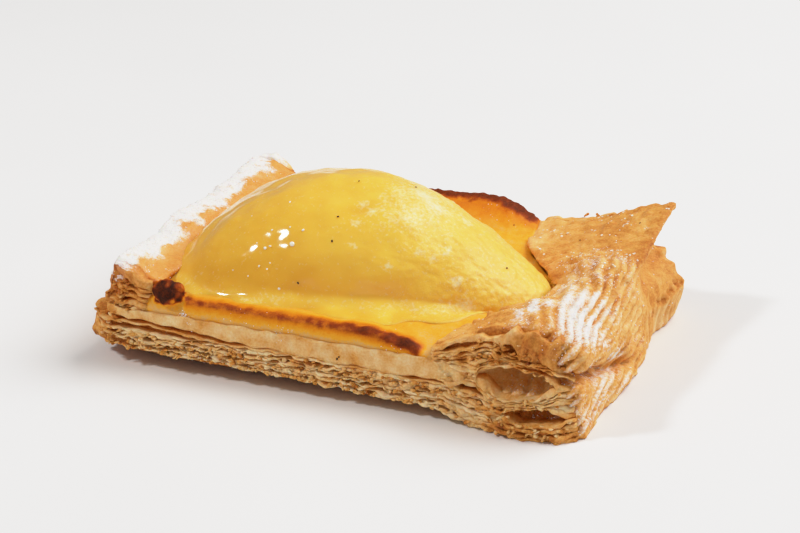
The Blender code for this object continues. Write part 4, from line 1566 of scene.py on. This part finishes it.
@dataclass
class Toppings:
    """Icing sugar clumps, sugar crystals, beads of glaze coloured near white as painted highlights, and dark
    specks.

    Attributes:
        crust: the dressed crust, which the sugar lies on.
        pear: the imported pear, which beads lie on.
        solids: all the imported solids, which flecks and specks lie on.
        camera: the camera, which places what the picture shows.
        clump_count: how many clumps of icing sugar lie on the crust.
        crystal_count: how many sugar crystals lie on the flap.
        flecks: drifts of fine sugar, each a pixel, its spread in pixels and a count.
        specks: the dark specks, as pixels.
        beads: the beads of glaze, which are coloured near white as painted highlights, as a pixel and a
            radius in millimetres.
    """

    crust: Crust
    pear: Solid
    solids: tuple[Solid, ...]
    camera: StudioCamera
    clump_count: int = 6500
    crystal_count: int = 170
    flecks: tuple[tuple[float, float, float, int], ...] = (
        (183.0, 315.0, 4.0, 60),
        (190.0, 322.0, 4.0, 20),
        (280.0, 334.0, 10.0, 30),
        (195.0, 349.0, 16.0, 40),
        (160.0, 347.0, 8.0, 20),
        (245.0, 325.0, 26.0, 20),
        (392.0, 343.0, 14.0, 20),
        (500.0, 205.0, 24.0, 50),
        (555.0, 352.0, 14.0, 20),
        (480.0, 352.0, 16.0, 20),
        (180.0, 270.0, 10.0, 50),
    )
    specks: tuple[tuple[float, float], ...] = (
        (394.0, 198.0),
        (338.0, 216.5),
        (332.0, 241.0),
        (507.0, 268.0),
        (416.0, 187.0),
        (298.0, 283.0),
        (359.0, 181.0),
        (339.0, 357.0),
        (337.0, 359.0),
        (509.0, 381.0),
        (514.0, 225.0),
        (580.0, 240.0),
        (640.0, 223.0),
    )
    beads: tuple[tuple[float, float, float], ...] = (
        (292.0, 244.0, 0.75),
        (303.0, 230.0, 0.36),
        (290.0, 227.0, 0.26),
        (272.0, 230.0, 0.28),
        (265.0, 248.0, 0.42),
        (270.0, 246.0, 0.30),
        (259.0, 266.0, 0.26),
        (270.0, 263.0, 0.24),
        (267.0, 269.0, 0.26),
        (279.0, 289.0, 0.42),
        (284.0, 295.0, 0.45),
        (287.0, 299.0, 0.40),
        (230.0, 293.0, 0.30),
        (248.0, 276.0, 0.22),
        (233.0, 270.0, 0.22),
        (257.0, 243.0, 0.24),
        (252.0, 216.0, 0.24),
        (290.0, 202.0, 0.28),
    )

    def on_skin(self, spot: tuple[Vector, Vector], sizes: Sequence[float], draw: random.Random) -> Matrix:
        """Where a grain lies that is pressed lightly into a surface.

        Args:
            spot: its place and the surface's normal there.
            sizes: its half sizes, in millimetres.
            draw: the draws that turn it about the normal.

        Returns:
            Where it goes, with its turn and its sizes.
        """
        place, normal = spot
        stand = normal.to_track_quat("Z", "Y").to_matrix().to_4x4()
        spin = Matrix.Rotation(draw.uniform(0.0, math.tau), 4, "Z")
        return Matrix.Translation(place) @ stand @ spin @ Matrix.Diagonal((*sizes, 1.0))

    def clumps(self, sugar: bpy.types.Material) -> bpy.types.Object:
        """Clumps of icing sugar where it lies thick."""
        draw = Seed.CLUMPS.draw()
        places = []
        while len(places) < self.clump_count:
            place, normal = draw.choice(self.crust.spots)
            thick = self.crust.sugar(place, normal) + 0.35 * grain(place, 1.6, 61.0)
            if draw.random() > thick - 0.25:
                continue
            size = 0.07 + 0.17 * draw.random() ** 2
            jitter = Vector((draw.gauss(0.0, 0.2), draw.gauss(0.0, 0.2), 0.0))
            sizes = (size, size * draw.uniform(0.7, 1.2), size * 0.6)
            places.append(self.on_skin((place + jitter, normal), sizes, draw))
        for across, down, spread, count in self.flecks:
            for _ in range(count):
                pixel = (draw.gauss(across, 0.5 * spread), draw.gauss(down, 0.4 * spread))
                if found := self.camera.find_first(self.solids, pixel):
                    size = draw.uniform(0.06, 0.15)
                    sizes = (size, size * draw.uniform(0.6, 1.2), size * 0.6)
                    places.append(self.on_skin(found, sizes, draw))
        return Piece("icing_sugar_clumps", Slot.SUGAR).make(scatter(lump(), places), sugar)

    def crystals(self, clear: bpy.types.Material) -> bpy.types.Object:
        """Sugar crystals on the tan flap at the right."""
        draw = Seed.CRYSTALS.draw()
        places = []
        cube = bmesh.new()
        bmesh.ops.create_cube(cube, size=1.0)
        while len(places) < self.crystal_count:
            place, normal = draw.choice(self.crust.spots)
            on_flap = place.x > 24.0 and place.z > 17.0 and normal.z > 0.55 and place.y > -30.0
            if not on_flap or grain(place, 9.0, 62.0) < -0.1:
                continue
            size = draw.uniform(0.25, 0.62)
            sizes = (size, size * draw.uniform(0.6, 1.0), size * draw.uniform(0.5, 0.9))
            places.append(self.on_skin((place, normal), sizes, draw))
        return Piece("sugar_crystals", Slot.CRYSTALS).make(scatter(cube, places), clear, smooth=False)

    def painted_highlight_beads(self, clear: bpy.types.Material) -> bpy.types.Object:
        """Beads of glaze on the pear's wide end, real bumps coloured near white as painted highlights."""
        draw = Seed.BEADS.draw()
        places = []
        for across, down, radius in self.beads:
            if found := self.camera.find(self.pear, (across, down)):
                sizes = (radius * draw.uniform(0.9, 1.2), radius * draw.uniform(0.8, 1.0), radius * 0.45)
                places.append(self.on_skin(found, sizes, draw))
        return Piece("painted_highlight_beads", Slot.GLAZE).make(scatter(lump(2), places), clear)

    def dark_specks(self, dark: bpy.types.Material) -> bpy.types.Object:
        """Dark specks on the pear, the custard and the crust."""
        draw = Seed.SPECKS.draw()
        places = []
        for pixel in self.specks:
            if found := self.camera.find_first(self.solids, pixel):
                size = draw.uniform(0.16, 0.30)
                places.append(self.on_skin(found, (size, size * 1.4, size * 0.6), draw))
        return Piece("dark_specks", Slot.BURNT).make(scatter(lump(), places), dark)


# The studio


@dataclass(frozen=True)
class Lamp:
    """One soft lamp.

    Attributes:
        name: what it is.
        direction: where it stands, seen from the tart.
        distance: how far away it is, in metres.
        size: its width, in metres.
        power: its power, in watts.
    """

    name: str
    direction: tuple[float, float, float]
    distance: float
    size: float
    power: float

    def build(self) -> None:
        """Makes the lamp and turns it to the tart."""
        light = bpy.data.lights.new(self.name, "AREA")
        light.energy = self.power
        light.size = self.size
        direction = Vector(self.direction).normalized()
        turn = direction.to_track_quat("Z", "Y").to_matrix().to_4x4()
        made = add_object(self.name, light)
        made.matrix_world = Matrix.Translation(direction * self.distance) @ turn


@dataclass(frozen=True)
class Studio:
    """The pale table, the lamps and the white room around them.

    Attributes:
        table: the table's finish.
        table_width: how wide the table is, in metres.
        room_level: how bright the room is.
        lamps: the lamps.
        shoulder: the tone curve, as light in and light out.
        shoulder_end: where the curve ends.
    """

    table: PlainFinish = PlainFinish("matt white table", "#f1efed", "#efedeb", 90.0, 0.7, 0.2)
    table_width: float = 6.0
    room_level: float = 0.25
    lamps: tuple[Lamp, ...] = (
        Lamp("key lamp", (-0.50, -0.42, 0.75), 1.2, 0.13, 5.5),
        Lamp("side panel", (0.62, 0.42, 0.90), 1.25, 0.95, 16.0),
    )
    shoulder: tuple[tuple[float, float], ...] = (
        (0.3, 0.3),
        (0.55, 0.55),
        (0.75, 0.72),
        (0.9, 0.81),
        (1.1, 0.875),
        (1.5, 0.94),
    )
    shoulder_end: tuple[float, float] = (3.0, 1.0)

    def expose(self) -> None:
        """Gives the picture a soft shoulder, so that the white table doesn't burn out."""
        view = bpy.context.scene.view_settings
        view.view_transform = "Standard"
        view.use_curve_mapping = True
        mapping = view.curve_mapping
        mapping.clip_max_x = self.shoulder_end[0]
        tone = mapping.curves[3]
        tone.points[-1].location = self.shoulder_end
        for place in self.shoulder:
            tone.points.new(*place)
        mapping.update()

    def build(self) -> None:
        """Makes the studio."""
        world = bpy.data.worlds.new("white room")
        world.use_nodes = True
        background = world.node_tree.nodes["Background"]
        background.inputs["Color"].default_value = (1.0, 1.0, 1.0, 1.0)
        background.inputs["Strength"].default_value = self.room_level
        bpy.context.scene.world = world
        self.expose()
        for lamp in self.lamps:
            lamp.build()
        mesh_builder = bmesh.new()
        bmesh.ops.create_grid(mesh_builder, x_segments=1, y_segments=1, size=self.table_width / 2.0)
        mesh = bpy.data.meshes.new("table")
        mesh_builder.to_mesh(mesh)
        mesh_builder.free()
        mesh.materials.append(self.table.build())
        add_object("table", mesh)


# The gaps between the leaves that the picture shows, and some of their kind on the far side

NEAR_PARTINGS = (
    Parting((-57.5, 12.6), (-21.0, 9.9), 0.9, 2.2),
    Parting((-54.5, 10.4), (-31.5, 9.3), 0.9, 2.0),
    Parting((-19.5, 9.8), (-11.5, 9.3), 0.7, 1.6),
    Parting((-11.0, 9.3), (-1.5, 9.2), 1.0, 2.0),
    Parting((15.5, 9.6), (28.8, 10.9), 0.8, 1.8),
    Parting((35.6, 12.6), (55.2, 12.6), 7.6, 7.5),
    Parting((30.0, 10.6), (38.5, 8.6), 1.3, 2.6),
    Parting((42.5, 4.6), (57.6, 6.9), 4.0, 4.6),
    Parting((26.0, 18.8), (36.0, 21.8), 0.9, 2.0),
    Parting((35.7, 22.7), (44.5, 25.5), 0.8, 2.0),
    Parting((-66.0, 17.5), (-56.5, 18.3), 0.6, 1.8),
)
FAR_PARTINGS = (
    Parting((-52.0, 10.8), (-24.0, 9.0), 1.0, 2.4),
    Parting((-12.0, 8.6), (8.0, 9.6), 0.9, 2.0),
    Parting((12.0, 12.2), (26.0, 11.0), 0.8, 2.0),
    Parting((30.0, 6.5), (44.0, 7.5), 2.2, 4.0),
)


def main() -> None:
    """Builds the tart and its studio."""
    logging.basicConfig(level=logging.INFO, format="%(name)s %(message)s")
    camera = StudioCamera()
    camera.build()
    pastry_solid = Solid("puff_pastry")
    custard_solid = Solid("custard_bed")
    pear_solid = Solid("pear_half")
    pastry = BakedPastry().build()
    crust = Crust(pastry_solid, pear_solid, custard_solid, camera)
    crust.build(pastry)
    near = CutSide(Side.NEAR, pastry_solid, -43.0, crust.near_wall, NEAR_PARTINGS, flake_count=900)
    far = CutSide(Side.FAR, pastry_solid, 44.3, crust.far_wall, FAR_PARTINGS, flake_count=700)
    for side in (near, far):
        side.build(pastry)
        side.flakes(pastry)
    Custard(custard_solid, pear_solid).build(BakedCustard().build())
    Pear(pear_solid, camera).build(GlazedPear().build())
    toppings = Toppings(crust, pear_solid, (pastry_solid, custard_solid, pear_solid), camera)
    toppings.clumps(PlainFinish("icing sugar", "#ffffff", "#f4ede6", 1.0, 0.95, 0.2).build())
    toppings.crystals(PlainFinish("sugar crystals", "#fffaf0", "#f7e6c8", 0.8, 0.12, 0.6).build())
    # painted highlights: the beads of glaze are coloured near white
    toppings.painted_highlight_beads(PlainFinish("near white glaze beads, painted highlights", "#fffdf4", "#fbeecb", 0.6, 0.08, 0.7).build())
    toppings.dark_specks(PlainFinish("dark specks", "#3a2412", "#1c0f08", 0.5, 0.6, 0.3).build())
    Studio().build()


if __name__ == "__main__":
    main()
